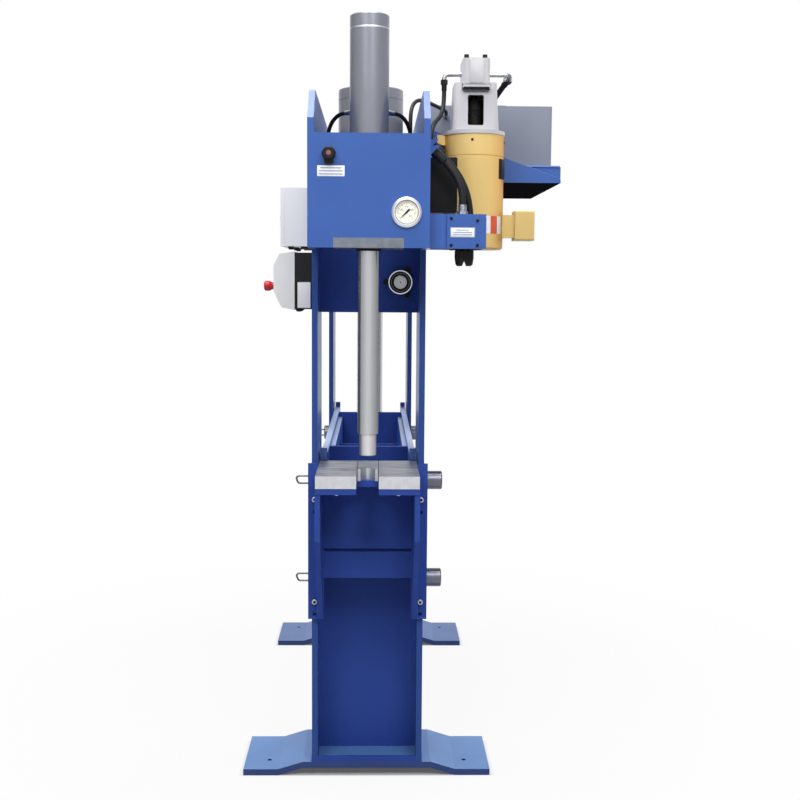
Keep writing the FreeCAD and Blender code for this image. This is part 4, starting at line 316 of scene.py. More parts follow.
def clear_glass():
    """Thin glass, which bends what is behind it hardly at all."""
    glass = Finish("clear_glass")
    glass.roughness(glass.spread(glass.noise(12, 2), 0.0, 0.03))
    glass.shader.inputs["Base Color"].default_value = (1, 1, 1, 1)
    glass.shader.inputs["Transmission Weight"].default_value = 1.0
    glass.shader.inputs["IOR"].default_value = 1.1
    return glass.material


BLUE = tint(52, 90, 163)
SHINY = (0.285, 0.36)
SATIN = (0.34, 0.48)
DULL = (0.45, 0.6)
blue_enamel = enamel("blue_enamel", BLUE, SHINY, 0.45)
# The frame's legs get painted shade on their edges below the head, in a darker, less glossy blue.
frame_enamel = enamel("frame_enamel", BLUE, SHINY, 0.45, painted_light_patch=(shaded_leg_edges, tint(44, 74, 142), 0.15))
# The webs, the bed's cross plates and the table's bracket get a darker, duller blue: painted shade in the
# recesses.
shaded_recess_enamel = enamel("shaded_recess_enamel", tint(52, 78, 158), DULL, 0.06)
# The tray's underside is painted near black and without gloss: painted shade.
tray_enamel = enamel("tray_enamel", BLUE, SHINY, 0.45, painted_light_patch=(shaded_tray_underside, tint(24, 24, 26), 0.0))
# The feet's blue is painted darker on their sides as painted shade, and lighter on their upper faces as
# painted light.
foot_enamel = enamel(
    "foot_enamel", tint(42, 66, 126), SHINY, 0.3, painted_light_patch=(lit_upper_faces, tint(84, 124, 176), 0.3))
# The bed's upper faces are painted pale: a painted highlight.
bed_enamel = enamel("bed_enamel", BLUE, SHINY, 0.45, painted_light_patch=(lit_upper_faces, tint(160, 180, 212), 0.45))
grey_enamel = enamel("grey_enamel", tint(132, 135, 144), (0.28, 0.35), 0.3, 0.94, flake=0.5)
tank_enamel = enamel("tank_enamel", tint(126, 132, 146), (0.4, 0.54))
# The motor's rim colour is painted shade: the sides of its drum go deeper orange.
motor_enamel = enamel("motor_enamel", tint(222, 190, 120), (0.3, 0.44), 0.35, rim=tint(186, 126, 40))
box_enamel = enamel("box_enamel", tint(208, 180, 114), SATIN, 0.3)
pump_enamel = enamel("pump_enamel", tint(184, 183, 187), SATIN, 0.35)
cabinet_enamel = enamel("cabinet_enamel", tint(234, 234, 233), (0.42, 0.56), 0.2, 0.96)
table_steel = worn_table("table_steel", tint(208, 210, 215), (0.34, 0.5))
oiled_steel = turned_metal("oiled_steel", tint(128, 134, 146), (0.3, 0.45), (1, 12, 1), 60)
drawn_steel = turned_metal("drawn_steel", tint(116, 119, 128), (0.28, 0.4), (30, 1, 1), 45)
turned_steel = turned_metal("turned_steel", tint(172, 173, 176))
chromed_rod = turned_metal(
    "chromed_rod", tint(196, 197, 200), (0.2, 0.27), (1, 1, 0.02), 500, 0.000002, 0.93)
bare_tip = turned_metal("bare_tip", tint(220, 219, 222), (0.3, 0.42), (1, 1, 20), 60, 0.00001, 0.9)
zinc_plate = turned_metal("zinc_plate", tint(200, 203, 206), (0.28, 0.38), (1, 1, 1), 300)
hose_metal = fitting_metal("hose_metal", tint(196, 198, 204), tint(20, 20, 22))
bright_rim = turned_metal("bright_rim", tint(226, 228, 234), (0.3, 0.4), (1, 1, 1), 220, 0.00001, 0.92)
black_iron = cast_iron("black_iron", tint(27, 26, 26), (0.5, 0.65))
black_plastic = moulding("black_plastic", tint(24, 24, 25), (0.35, 0.5), specular=0.2)
knob_plastic = moulding(
    "knob_plastic", tint(24, 24, 25), (0.35, 0.5), specular=0.2, patch=(knob_end, tint(142, 92, 92)))
black_rubber = moulding("black_rubber", tint(20, 19, 20), (0.42, 0.6), 700, 0.0001, 0.25)
seal_rubber = moulding("seal_rubber", tint(24, 24, 25), (0.6, 0.75), 700, 0.0001, 0.1)
red_plastic = moulding("red_plastic", tint(186, 22, 34), (0.3, 0.4), specular=0.35)
green_plastic = moulding("green_plastic", tint(30, 130, 70), (0.25, 0.35))
label_white = moulding("label_white", tint(236, 238, 240), (0.35, 0.45))
label_red = moulding("label_red", tint(214, 84, 52), (0.35, 0.45))
label_border = moulding("label_border", tint(150, 162, 190), (0.35, 0.45))
dial_cream = moulding("dial_cream", tint(238, 234, 220), (0.5, 0.6))
dial_ink = moulding("dial_ink", tint(28, 28, 30), (0.5, 0.6))
gauge_glass = clear_glass()

NODE_FINISHES = (
    (blue_enamel, ("head_end_plate", "cylinder_seats", "valve_box", "plate_brackets")),
    (frame_enamel, ("frame_plate_front", "frame_plate_rear")),
    (foot_enamel, ("feet",)),
    (bed_enamel, ("bed_side_plates",)),
    (shaded_recess_enamel, ("near_webs", "far_webs", "bed_cross_plates", "table_bracket")),
    (tray_enamel, ("tank_tray",)),
    (grey_enamel, ("main_barrel", "side_barrel")),
    (turned_steel, ("main_gland", "main_piston", "web_shaft", "motor_rotor", "regulator_body")),
    (drawn_steel, ("pin_near_upper", "pin_near_lower", "pin_far_upper", "pin_far_lower")),
    (table_steel, ("table_blocks",)),
    (oiled_steel, ("side_flange",)),
    (chromed_rod, ("main_ram", "side_ram")),
    (bare_tip, ("side_ram_tip",)),
    (zinc_plate, ("table_screws",)),
    (hose_metal, ("hose_fittings",)),
    (seal_rubber, ("rod_seals", "coupling_spider")),
    (black_iron, ("bearing_flange", "control_valve", "manifold_blocks", "coupling_hubs")),
    (bright_rim, ("gauge_case",)),
    (dial_cream, ("gauge_dial",)),
    (dial_ink, ("gauge_pointer",)),
    (gauge_glass, ("gauge_glass",)),
    (black_plastic, ("selector_knob", "console_back", "filler_cap")),
    (knob_plastic, ("regulator_knob",)),
    (motor_enamel, ("motor_housing",)),
    (box_enamel, ("terminal_box",)),
    (pump_enamel, ("bell_housing", "pump_body")),
    (tank_enamel, ("oil_tank",)),
    (cabinet_enamel, ("cabinet_box", "cabinet_door", "console_cover")),
    (red_plastic, ("estop_button",)),
    (green_plastic, ("cycle_button",)),
)


def paint_nodes():
    for finish, names in NODE_FINISHES:
        for name in names:
            for slot in press[name].material_slots:
                slot.material = finish


# ---------------------------------------------------------------- making pieces

def finished(name, shape, finish, body="press_frame", smooth=True):
    """A bmesh turned into a piece that rides on a body of the press."""
    bmesh.ops.recalc_face_normals(shape, faces=shape.faces)
    mesh = bpy.data.meshes.new(name)
    shape.to_mesh(mesh)
    shape.free()
    mesh.materials.append(finish)
    for face in mesh.polygons:
        face.use_smooth = smooth
    if smooth:
        mesh.set_sharp_from_angle(angle=math.radians(35))
    piece = bpy.data.objects.new(name, mesh)
    scene.collection.objects.link(piece)
    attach(piece, body)


def facing(place, outward, up=UPWARDS):
    """The turn and move that bring a shape made on z=0, its front along +z, to a place on the press."""
    front = Vector(outward).normalized()
    side = Vector(up).cross(front).normalized()
    top = front.cross(side)
    turn = Matrix((side, top, front)).transposed().to_4x4()
    return Matrix.Translation(place) @ turn


def edges_along(shape, axis):
    """The shape's edges that run along one of its axes."""
    found = []
    for edge in shape.edges:
        run = (edge.verts[1].co - edge.verts[0].co).normalized()
        if abs(run[axis]) > 0.99:
            found.append(edge)
    return found


def front_edges(shape, height):
    """The edges round the front of a shape that stands on z=0."""
    return [edge for edge in shape.edges if min(v.co.z for v in edge.verts) > height * 0.99]


def soften(shape, edges, offset, segments):
    bmesh.ops.bevel(
        shape, geom=edges, offset=offset, segments=segments, affect="EDGES", profile=0.5, material=-1)


def put(part, where, shape):
    """Moves a part to its place and adds it to a shape."""
    bmesh.ops.transform(part, matrix=where, verts=part.verts)
    joined = bpy.data.meshes.new("part")
    part.to_mesh(joined)
    part.free()
    shape.from_mesh(joined)
    bpy.data.meshes.remove(joined)


def add_slab(shape, width, height, thick, corner, chamfer, where):
    """A rounded rectangle of some thickness with a softened front edge, added to a shape."""
    slab = bmesh.new()
    bmesh.ops.create_cube(slab, size=1)
    bmesh.ops.scale(slab, vec=(width, height, thick), verts=slab.verts)
    bmesh.ops.translate(slab, vec=(0, 0, thick / 2), verts=slab.verts)
    soften(slab, edges_along(slab, 2), corner, 5)
    soften(slab, front_edges(slab, thick), chamfer, 2)
    put(slab, where, shape)


def add_drum(shape, radius, height, where, chamfer=0.0, sides=40):
    """A round drum, its front edge softened, added to a shape."""
    drum = bmesh.new()
    bmesh.ops.create_cone(drum, cap_ends=True, segments=sides, radius1=radius, radius2=radius, depth=height)
    bmesh.ops.translate(drum, vec=(0, 0, height / 2), verts=drum.verts)
    if chamfer:
        soften(drum, front_edges(drum, height), chamfer, 3)
    put(drum, where, shape)


def add_socket_screw(shape, radius, height, where):
    """A cap screw's head: a drum with a rounded rim and a sunk socket."""
    rim, land, depth = radius * 0.14, radius * 0.36, height * 0.45
    head = bmesh.new()
    bmesh.ops.create_cone(head, cap_ends=True, segments=24, radius1=radius, radius2=radius, depth=height)
    bmesh.ops.translate(head, vec=(0, 0, height / 2), verts=head.verts)
    soften(head, front_edges(head, height), rim, 3)
    top = max(head.faces, key=lambda face: face.calc_center_median().z)
    bmesh.ops.inset_individual(head, faces=[top], thickness=land)
    sunk = bmesh.ops.extrude_discrete_faces(head, faces=[top])["faces"]
    bmesh.ops.translate(head, vec=(0, 0, -depth), verts=sunk[0].verts)
    put(head, where, shape)


def add_ring(shape, outer, inner, height, where):
    """A flat ring with square edges: a strip's outline turned once round."""
    ring = bmesh.new()
    bmesh.ops.create_grid(ring, x_segments=1, y_segments=1, size=0.5)
    bmesh.ops.scale(ring, vec=(outer - inner, height, 1), verts=ring.verts)
    upright = Matrix.Rotation(math.radians(90), 3, "X")
    bmesh.ops.rotate(ring, cent=(0, 0, 0), matrix=upright, verts=ring.verts)
    bmesh.ops.translate(ring, vec=((outer + inner) / 2, 0, height / 2), verts=ring.verts)
    outline = list(ring.edges)
    bmesh.ops.delete(ring, geom=list(ring.faces), context="FACES_ONLY")
    bmesh.ops.spin(
        ring, geom=list(ring.verts) + outline, cent=(0, 0, 0), axis=(0, 0, 1), angle=math.tau, steps=64,
        use_merge=True)
    put(ring, where, shape)


# ---------------------------------------------------------------- hoses

# Each route is a smooth line's control points, from the hose's end in one fitting to its end in the other.
SIDE_HOSE_LEFT = (
    (-0.0697, -0.8573, 2.0480), (-0.0794, -0.8476, 2.0480), (-0.0903, -0.8366, 2.0447),
    (-0.1004, -0.8263, 2.0386), (-0.1092, -0.8173, 2.0293), (-0.1163, -0.8101, 2.0174),
    (-0.1213, -0.8049, 2.0034), (-0.1244, -0.8016, 1.9884), (-0.1260, -0.8000, 1.9728),
    (-0.1260, -0.8000, 1.9590))
SIDE_HOSE_RIGHT = (
    (0.0697, -0.8573, 2.0480), (0.0840, -0.8430, 2.0480), (0.0996, -0.8274, 2.0406),
    (0.1122, -0.8147, 2.0261), (0.1202, -0.8064, 2.0060), (0.1246, -0.8019, 1.9837),
    (0.1265, -0.7998, 1.9607), (0.1268, -0.7994, 1.9375), (0.1260, -0.8000, 1.9143),
    (0.1260, -0.8000, 1.8940))
RETURN_HOSE = (
    (0.1260, -0.7250, 1.8940), (0.1260, -0.7250, 1.9531), (0.1241, -0.7210, 2.0231),
    (0.1262, -0.7004, 2.0893), (0.1470, -0.6432, 2.1207), (0.1748, -0.5791, 2.1261),
    (0.2024, -0.5145, 2.1259), (0.2280, -0.4492, 2.1244), (0.2560, -0.3824, 2.1220),
    (0.2560, -0.3240, 2.1220))
PRESSURE_HOSE = (
    (0.2365, -0.5400, 2.1652), (0.2365, -0.5400, 2.1364), (0.2327, -0.5516, 2.1067),
    (0.2257, -0.5735, 2.0847), (0.2168, -0.6008, 2.0705), (0.2077, -0.6292, 2.0587),
    (0.1988, -0.6565, 2.0445), (0.1918, -0.6784, 2.0225), (0.1880, -0.6900, 1.9928),
    (0.1880, -0.6900, 1.9640))
SUCTION_HOSE = (
    (0.4343, -0.4914, 2.1931), (0.4280, -0.4734, 2.1846), (0.4192, -0.4565, 2.1723),
    (0.4099, -0.4408, 2.1590), (0.4007, -0.4251, 2.1456), (0.3925, -0.4080, 2.1335),
    (0.3861, -0.3886, 2.1241), (0.3820, -0.3672, 2.1180), (0.3800, -0.3449, 2.1150),
    (0.3800, -0.3240, 2.1150))
VALVE_HOSE_FRONT = (
    (0.2120, -0.9450, 1.9060), (0.2228, -0.9450, 1.8952), (0.2336, -0.9454, 1.8830),
    (0.2437, -0.9461, 1.8702), (0.2525, -0.9470, 1.8564), (0.2596, -0.9480, 1.8418),
    (0.2649, -0.9489, 1.8264), (0.2683, -0.9496, 1.8104), (0.2700, -0.9500, 1.7942),
    (0.2700, -0.9500, 1.7790))
VALVE_HOSE_REAR = (
    (0.2120, -0.8450, 1.9340), (0.2288, -0.8450, 1.9172), (0.2458, -0.8446, 1.8979),
    (0.2613, -0.8439, 1.8776), (0.2747, -0.8430, 1.8558), (0.2856, -0.8420, 1.8327),
    (0.2935, -0.8411, 1.8083), (0.2985, -0.8404, 1.7832), (0.3010, -0.8400, 1.7577),
    (0.3010, -0.8400, 1.7340))

HOSES = (
    # name, CAD node, route, diameter, length
    ("side_hose_left", "side_hoses", SIDE_HOSE_LEFT, 0.012, 0.137),
    ("side_hose_right", "side_hoses", SIDE_HOSE_RIGHT, 0.012, 0.202),
    ("tank_return_hose", "return_hose", RETURN_HOSE, 0.012, 0.603),
    ("pump_pressure_hose", "pressure_hose", PRESSURE_HOSE, 0.014, 0.280),
    ("pump_suction_hose", "suction_hose", SUCTION_HOSE, 0.018, 0.200),
    ("valve_hose_front", "valve_hoses", VALVE_HOSE_FRONT, 0.020, 0.145),
    ("valve_hose_rear", "valve_hoses", VALVE_HOSE_REAR, 0.020, 0.227),
)


def make_hose(name, node, route, diameter, length):
    """A rubber hose along one smooth line from its first fitting to its last."""
    line = bpy.data.curves.new(name, "CURVE")
    line.dimensions = "3D"
    line.bevel_depth = diameter / 2
    line.bevel_resolution = 6
    line.resolution_u = 8
    line.use_fill_caps = True
    spline = line.splines.new("NURBS")
    spline.points.add(len(route) - 1)
    for point, place in zip(spline.points, route):
        point.co = (*place, 1)
    spline.order_u = 3
    spline.use_endpoint_u = True
    line.materials.append(black_rubber)
    hose = bpy.data.objects.new(name, line)
    scene.collection.objects.link(hose)
    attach(hose, "press_frame")
    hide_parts(node)


def hose_sleeves():
    """The rubber sleeves over the valve hoses' upper fittings."""
    radius, length, behind_hose_end, rounding = 0.0148, 0.034, 0.026, 0.004
    sleeves = bmesh.new()
    for route in (VALVE_HOSE_FRONT, VALVE_HOSE_REAR):
        first, second = Vector(route[0]), Vector(route[1])
        out = (second - first).normalized()
        add_drum(sleeves, radius, length, facing(first - out * behind_hose_end, out, TOWARDS_BACK), rounding)
    finished("hose_sleeves", sleeves, black_rubber)


# ---------------------------------------------------------------- labels, screws and dial

def label_bars(name, middle, pitch, widths, height, thick):
    """Plain bars, one above the other, on a label."""
    corner, edge = 0.0004, 0.0001
    bars = bmesh.new()
    for row, width in zip((1, 0, -1), widths):
        place = middle + row * pitch * UPWARDS
        add_slab(bars, width, height, thick, corner, edge, facing(place, TOWARDS_FRONT))
    finished(name, bars, label_border)


def end_plate_label():
    """The white plate under the regulator, with plain bars on it."""
    middle = Vector((-0.1065, END_PLATE_FRONT, 1.865))
    width, height, thick, corner, edge = 0.077, 0.030, 0.0008, 0.002, 0.0003
    shape = bmesh.new()
    add_slab(shape, width, height, thick, corner, edge, facing(middle, TOWARDS_FRONT))
    finished("end_plate_label", shape, label_white)
    label_bars("end_plate_label_bars", middle, 0.0085, (0.060, 0.066, 0.066), 0.0036, 0.0010)


def valve_box_front():
    """The label with plain bars, its border, and the four screws that hold the box's cover."""
    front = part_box("valve_box")[0].y
    middle = Vector((0.2677, front, 1.698))
    label_width, label_height, margin = 0.066, 0.024, 0.005
    for name, finish, width, height, thick in (
        ("valve_box_label_border", label_border, label_width + margin, label_height + margin, 0.0007),
        ("valve_box_label", label_white, label_width, label_height, 0.0011),
    ):
        plate = bmesh.new()
        add_slab(plate, width, height, thick, 0.001, 0.0002, facing(middle, TOWARDS_FRONT))
        finished(name, plate, finish)
    label_bars("valve_box_label_bars", middle, 0.0065, (0.036, 0.054, 0.054), 0.0028, 0.0013)
    left, right, left_top, right_top, bottom = 0.2351, 0.3097, 1.7373, 1.7316, 1.6620
    screws = bmesh.new()
    for across, up in ((left, left_top), (right, right_top), (left, bottom), (right, bottom)):
        add_socket_screw(screws, 0.0042, 0.004, facing((across, front, up), TOWARDS_FRONT))
    finished("valve_box_screws", screws, black_iron)


def gauge_scale():
    """Tick marks round the dial, every fifth one long, and plain numbers inside them."""
    first_angle, sweep, steps, long_every = 225, 270, 40, 5
    tick_end, number_place, number_size = 0.80, 0.47, 0.21
    long_tick, short_tick = (0.17, 0.030), (0.09, 0.014)
    low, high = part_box("gauge_dial")
    centre = (low + high) / 2
    centre.y = low.y
    radius = (high.x - low.x) / 2

    def outward_at(share):
        angle = math.radians(first_angle - sweep * share)
        return Vector((math.cos(angle), 0, math.sin(angle)))

    ticks = bmesh.new()
    for step in range(steps + 1):
        long_share, wide_share = short_tick if step % long_every else long_tick
        length, width = radius * long_share, radius * wide_share
        out = outward_at(step / steps)
        place = centre + out * (radius * tick_end - length / 2)
        add_slab(ticks, width, length, 0.0002, width * 0.2, 0.00005, facing(place, TOWARDS_FRONT, out))
    finished("gauge_ticks", ticks, dial_ink)
    numbers = ("0", "100", "200", "300", "400")
    for index, number in enumerate(numbers):
        words = bpy.data.curves.new("dial_number", "FONT")
        words.body = number
        words.size = radius * number_size
        words.align_x = "CENTER"
        words.align_y = "CENTER"
        words.extrude = 0.00008
        writing = bpy.data.objects.new("dial_number", words)
        scene.collection.objects.link(writing)
        flat = bpy.data.meshes.new_from_object(writing.evaluated_get(bpy.context.evaluated_depsgraph_get()))
        bpy.data.objects.remove(writing)
        shape = bmesh.new()
        shape.from_mesh(flat)
        bpy.data.meshes.remove(flat)
        place = centre + outward_at(index / (len(numbers) - 1)) * radius * number_place
        place += 0.0001 * TOWARDS_FRONT
        bmesh.ops.transform(shape, matrix=facing(place, TOWARDS_FRONT), verts=shape.verts)
        finished("gauge_number_%s" % number, shape, dial_ink, smooth=False)


def gauge_bezel():
    """The polished step round the gauge's glass, and the dark line where the dial meets it."""
    place = middle_of("gauge_case")
    place.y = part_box("gauge_case")[0].y
    for name, finish, outer, inner, height, slot in (
        ("gauge_bezel", bright_rim, 0.0372, 0.0338, 0.0016, "bright_rim"),
        ("gauge_dial_line", dial_ink, 0.0337, 0.0322, 0.0003, "pointer_black"),
    ):
        ring = bmesh.new()
        add_ring(ring, outer, inner, height, facing(place, TOWARDS_FRONT))
        finished(name, ring, finish)


# ---------------------------------------------------------------- motor and pump

MOTOR_RADIUS = 0.0975


def out_of_motor(degrees):
    """The direction away from the motor's axis at an angle counted from +X towards +Y."""
    angle = math.radians(degrees)
    return Vector((math.cos(angle), math.sin(angle), 0))


def wrapped_on_motor(name, finish, start, end, low, high, thick):
    """A thin piece that lies round the motor's shell between two angles and two heights."""
    shape = bmesh.new()
    side = MOTOR_AXIS + (MOTOR_RADIUS + thick) * out_of_motor(start)
    bottom = shape.verts.new((side.x, side.y, low))
    top = shape.verts.new((side.x, side.y, high))
    edge = shape.edges.new((bottom, top))
    bmesh.ops.spin(
        shape, geom=[bottom, top, edge], cent=MOTOR_AXIS, axis=(0, 0, 1), angle=math.radians(end - start),
        steps=12)
    bmesh.ops.solidify(shape, geom=shape.faces, thickness=-thick * 0.9)
    finished(name, shape, finish)


def motor_details():
    """Plain strips round the motor's side, a black plate with a raised pad as painted shade for a dark
    opening in its side, and its shield's screws.
    """
    strip_bottom, strip_top, strip_thick = 1.711, 1.766, 0.0004
    for name, finish, start, end in (
        ("motor_strip_left", label_white, -70, -59),
        ("motor_strip_middle", label_red, -59, -42),
        ("motor_strip_right", label_white, -42, -28),
    ):
        wrapped_on_motor(name, finish, start, end, strip_bottom, strip_top, strip_thick)
    # The black plate and its pad are painted shade: they stand for a dark opening in the motor's side.
    start, end, low, high, inset, inset_degrees = -38, 20, 1.884, 1.947, 0.005, 5
    wrapped_on_motor("motor_side_shade_plate", black_plastic, start, end, low, high, 0.0022)
    wrapped_on_motor(
        "motor_side_shade_pad", black_plastic, start + inset_degrees, end - inset_degrees, low + inset,
        high - inset, 0.0034)
    screw_height, sunk = 2.002, 0.0006
    screws = bmesh.new()
    for degrees in (-97, -7, 83, 173):
        out = out_of_motor(degrees)
        place = MOTOR_AXIS + out * (MOTOR_RADIUS - sunk) + screw_height * UPWARDS
        add_socket_screw(screws, 0.0042, 0.0026, facing(place, out))
    finished("motor_shield_screws", screws, black_iron)


def pump_details():
    """The black gasket under the pump, black also as painted shade under the pump's overhang, the raised
    panel on its front, and its two plugs' black caps.
    """
    gasket_below, panel_sunk = 0.0006, 0.0004
    low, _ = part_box("pump_body")
    middle = middle_of("pump_body")
    gasket_bottom = Vector((middle.x, middle.y, low.z - gasket_below))
    # The black plate is a gasket, and its black also stands for painted shade under the pump's overhang.
    plate = bmesh.new()
    add_slab(plate, 0.0862, 0.1312, 0.0062, 0.004, 0.0008, facing(gasket_bottom, UPWARDS, TOWARDS_BACK))
    finished("pump_plate", plate, seal_rubber)
    on_front = Vector((middle.x, low.y + panel_sunk, middle.z))
    panel = bmesh.new()
    add_slab(panel, 0.046, 0.074, 0.0024, 0.006, 0.0012, facing(on_front, TOWARDS_FRONT))
    finished("pump_front_panel", panel, pump_enamel)
    cap_bottom, cap_row = 2.2538, -0.595
    caps = bmesh.new()
    for across in (0.303, 0.361):
        add_socket_screw(caps, 0.0076, 0.0150, facing((across, cap_row, cap_bottom), UPWARDS, TOWARDS_BACK))
    finished("pump_plug_caps", caps, black_iron)


# ---------------------------------------------------------------- small pieces on the head and the uprights

def bearing_rings():
    """The bright ring of the web's bearing, the dull ring inside it, and the grooves on its shaft's end,
    drawn as thin black rings that are painted shade.
    """
    shaft_end = middle_of("web_shaft")
    shaft_end.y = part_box("web_shaft")[0].y
    flange_face = Vector((shaft_end.x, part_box("bearing_flange")[0].y, shaft_end.z))
    for name, finish, outer, inner, height in (
        ("bearing_bright_ring", bright_rim, 0.0372, 0.0342, 0.0022),
        ("bearing_dull_ring", drawn_steel, 0.0284, 0.0274, 0.0006),
    ):
        ring = bmesh.new()
        add_ring(ring, outer, inner, height, facing(flange_face, TOWARDS_FRONT))
        finished(name, ring, finish)
    # Thin black rings stand for the grooves: painted shade in them.
    grooves = bmesh.new()
    for outer, inner in ((0.0172, 0.0167), (0.0112, 0.0107), (0.0024, 0.0002)):
        add_ring(grooves, outer, inner, 0.0003, facing(shaft_end, TOWARDS_FRONT))
    finished("shaft_end_grooves", grooves, black_iron, body="web_shaft")


def barrel_seam():
    """The seam round the small cylinder under its cap, in bright metal as a painted highlight on the seam's
    lit top.
    """
    cap_height, seam_height = 0.041, 0.0042
    barrel_radius, proud, sunk = 0.0565, 0.0004, 0.0005
    place = middle_of("side_barrel")
    place.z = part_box("side_barrel")[1].z - cap_height
    seam = bmesh.new()
    add_ring(
        seam, barrel_radius + proud, barrel_radius - sunk, seam_height, facing(place, UPWARDS, TOWARDS_BACK))
    finished("barrel_seam", seam, bright_rim)


def regulator_details():
    """The regulator's bracket under its knob, and the knob's ribs."""
    on_plate = Vector((KNOB_AXIS.x, END_PLATE_FRONT, KNOB_AXIS.z))
    below_axis = 0.0125
    behind = bmesh.new()
    add_slab(
        behind, 0.027, 0.030, 0.010, 0.004, 0.001, facing(on_plate + below_axis * DOWNWARDS, TOWARDS_FRONT))
    add_drum(behind, 0.0195, 0.012, facing(on_plate, TOWARDS_FRONT), 0.002)
    finished("regulator_bracket", behind, black_plastic)
    rib_count, rib_circle, rib_length, behind_end = 24, 0.0166, 0.020, 0.0125
    knob_end_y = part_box("regulator_knob")[0].y
    on_knob = Vector((KNOB_AXIS.x, knob_end_y + behind_end, KNOB_AXIS.z))
    ribs = bmesh.new()
    for step in range(rib_count):
        angle = math.tau * step / rib_count
        out = Vector((math.cos(angle), 0, math.sin(angle)))
        add_slab(
            ribs, 0.0022, rib_length, 0.0009, 0.0008, 0.0003,
            facing(on_knob + out * rib_circle, out, TOWARDS_BACK))
    finished("regulator_knob_ribs", ribs, black_plastic, body="regulator_knob")


LET_IN = 0.0005   # how far the pieces under a box reach up into it


def add_gland(shape, radius, length, place):
    """A cable gland under a box: a six-sided collar, and a round nut that stands a little lower."""
    collar_height, collar_width = 0.006, 0.0035
    where = facing(place, DOWNWARDS, TOWARDS_BACK)
    add_drum(shape, radius, collar_height, where, 0.001, 6)
    add_drum(shape, radius - collar_width, length, where, 0.002, 24)


def console_details():
    """The white connector cover on the console's side, and the cable glands under it."""
    low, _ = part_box("console_back")
    cover_middle = Vector((-0.2005, low.y, 1.5135))
    cover = bmesh.new()
    add_slab(cover, 0.040, 0.079, 0.006, 0.002, 0.0008, facing(cover_middle, TOWARDS_FRONT))
    finished("console_connector_cover", cover, cabinet_enamel)
    glands = bmesh.new()
    for along in (-0.690, -0.640, -0.590):
        add_gland(glands, 0.0115, 0.009, Vector((-0.218, along, low.z + LET_IN)))
    finished("console_glands", glands, black_plastic)


def cabinet_details():
    """Cable glands and flat connectors under the cabinet, and the lock on its door."""
    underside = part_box("cabinet_box")[0].z + LET_IN
    glands = bmesh.new()
    for across, along in ((-0.280, -0.17), (-0.270, -0.05), (-0.270, 0.08)):
        add_gland(glands, 0.0125, 0.012, Vector((across, along, underside)))
    for along in (-0.165, 0.02):
        where = facing((-0.226, along, underside), DOWNWARDS, TOWARDS_BACK)
        add_slab(glands, 0.040, 0.026, 0.010, 0.004, 0.002, where)
    finished("cabinet_glands", glands, black_plastic)
    on_door = facing((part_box("cabinet_door")[0].x, -0.150, 1.780), (-1, 0, 0))
    lock = bmesh.new()
    for radius, height in ((0.011, 0.003), (0.007, 0.0045)):
        add_drum(lock, radius, height, on_door, 0.001)
    finished("cabinet_lock", lock, zinc_plate, body="door")


def table_sockets():
    """Dark six-sided discs on the table's four frame screws: painted shade standing for their sockets."""
    screw_face, upper_row, lower_row = -0.815, 0.889, 0.567
    sockets = bmesh.new()
    for across in (-PLATE_MIDDLE, PLATE_MIDDLE):
        for up in (upper_row, lower_row):
            add_drum(sockets, 0.0050, 0.0003, facing((across, screw_face, up), TOWARDS_FRONT), 0, 6)
    finished("table_screw_sockets", sockets, black_iron)


# ---------------------------------------------------------------- welds

def add_weld(shape, start, end, size):
    """A weld bead: overlapping flattened drops along a seam."""
    overlap, flattening, unevenness, rhythm = 0.55, 0.62, 0.08, 2.1
    first, last = Vector(start), Vector(end)
    run = last - first
    count = max(2, round(run.length / (size * overlap)))
    squeeze = Vector([flattening if abs(run.normalized()[axis]) > 0.9 else 1.0 for axis in range(3)])
    for step in range(count + 1):
        drop = bmesh.new()
        bmesh.ops.create_uvsphere(drop, u_segments=10, v_segments=6, radius=size)
        bmesh.ops.scale(drop, vec=squeeze, verts=drop.verts)
        swell = 1 + unevenness * math.sin(step * rhythm)
        bmesh.ops.scale(drop, vec=(swell, swell, swell), verts=drop.verts)
        put(drop, Matrix.Translation(first + run * step / count), shape)


def weld_beads():
    """The painted weld beads where the uprights stand on the feet, and where the bracket's plates meet."""
    foot_bead, bracket_bead = 0.0045, 0.0035
    upright_inner, upright_outer = 0.525, 0.787
    edge_start, edge_end = 0.157, 0.171
    bracket_side, bracket_seam, bracket_bottom, bracket_top = 0.154, -0.8055, 0.530, 0.930
    beads = bmesh.new()
    for end in (-1, 1):
        inner, outer = end * upright_inner, end * upright_outer
        for across in (-PLATE_OUTER_FACE, PLATE_OUTER_FACE):
            add_weld(beads, (across, inner, FOOT_TOP), (across, outer, FOOT_TOP), foot_bead)
        for side in (-1, 1):
            add_weld(
                beads, (side * edge_start, outer, FOOT_TOP), (side * edge_end, outer, FOOT_TOP), foot_bead)
    for across in (-bracket_side, bracket_side):
        add_weld(
            beads, (across, bracket_seam, bracket_bottom), (across, bracket_seam, bracket_top), bracket_bead)
    finished("weld_beads", beads, blue_enamel)


def tray_beads():
    """The weld along the tank tray's sloping gusset, and the rolled edge of its near lip."""
    start, end, weld_radius = Vector((0.522, -0.4400, 1.9376)), Vector((0.628, -0.4400, 1.8988)), 0.0026
    lip_start, lip_length, lip_radius = Vector((0.519, -0.4352, 1.9384)), 0.110, 0.0042
    slope = (end - start).normalized()
    beads = bmesh.new()
    add_drum(beads, weld_radius, (end - start).length, facing(start, slope, TOWARDS_BACK), 0, 16)
    add_drum(beads, lip_radius, lip_length, facing(lip_start, (1, 0, 0)), 0, 16)
    finished("tray_beads", beads, blue_enamel)


# ---------------------------------------------------------------- studio

# The feet: how far their middles lie from the press's middle along Y, and their half sizes along Y and X.
FOOT_MIDDLE, FOOT_HALF_DEPTH, FOOT_HALF_WIDTH = 0.659, 0.134, 0.388


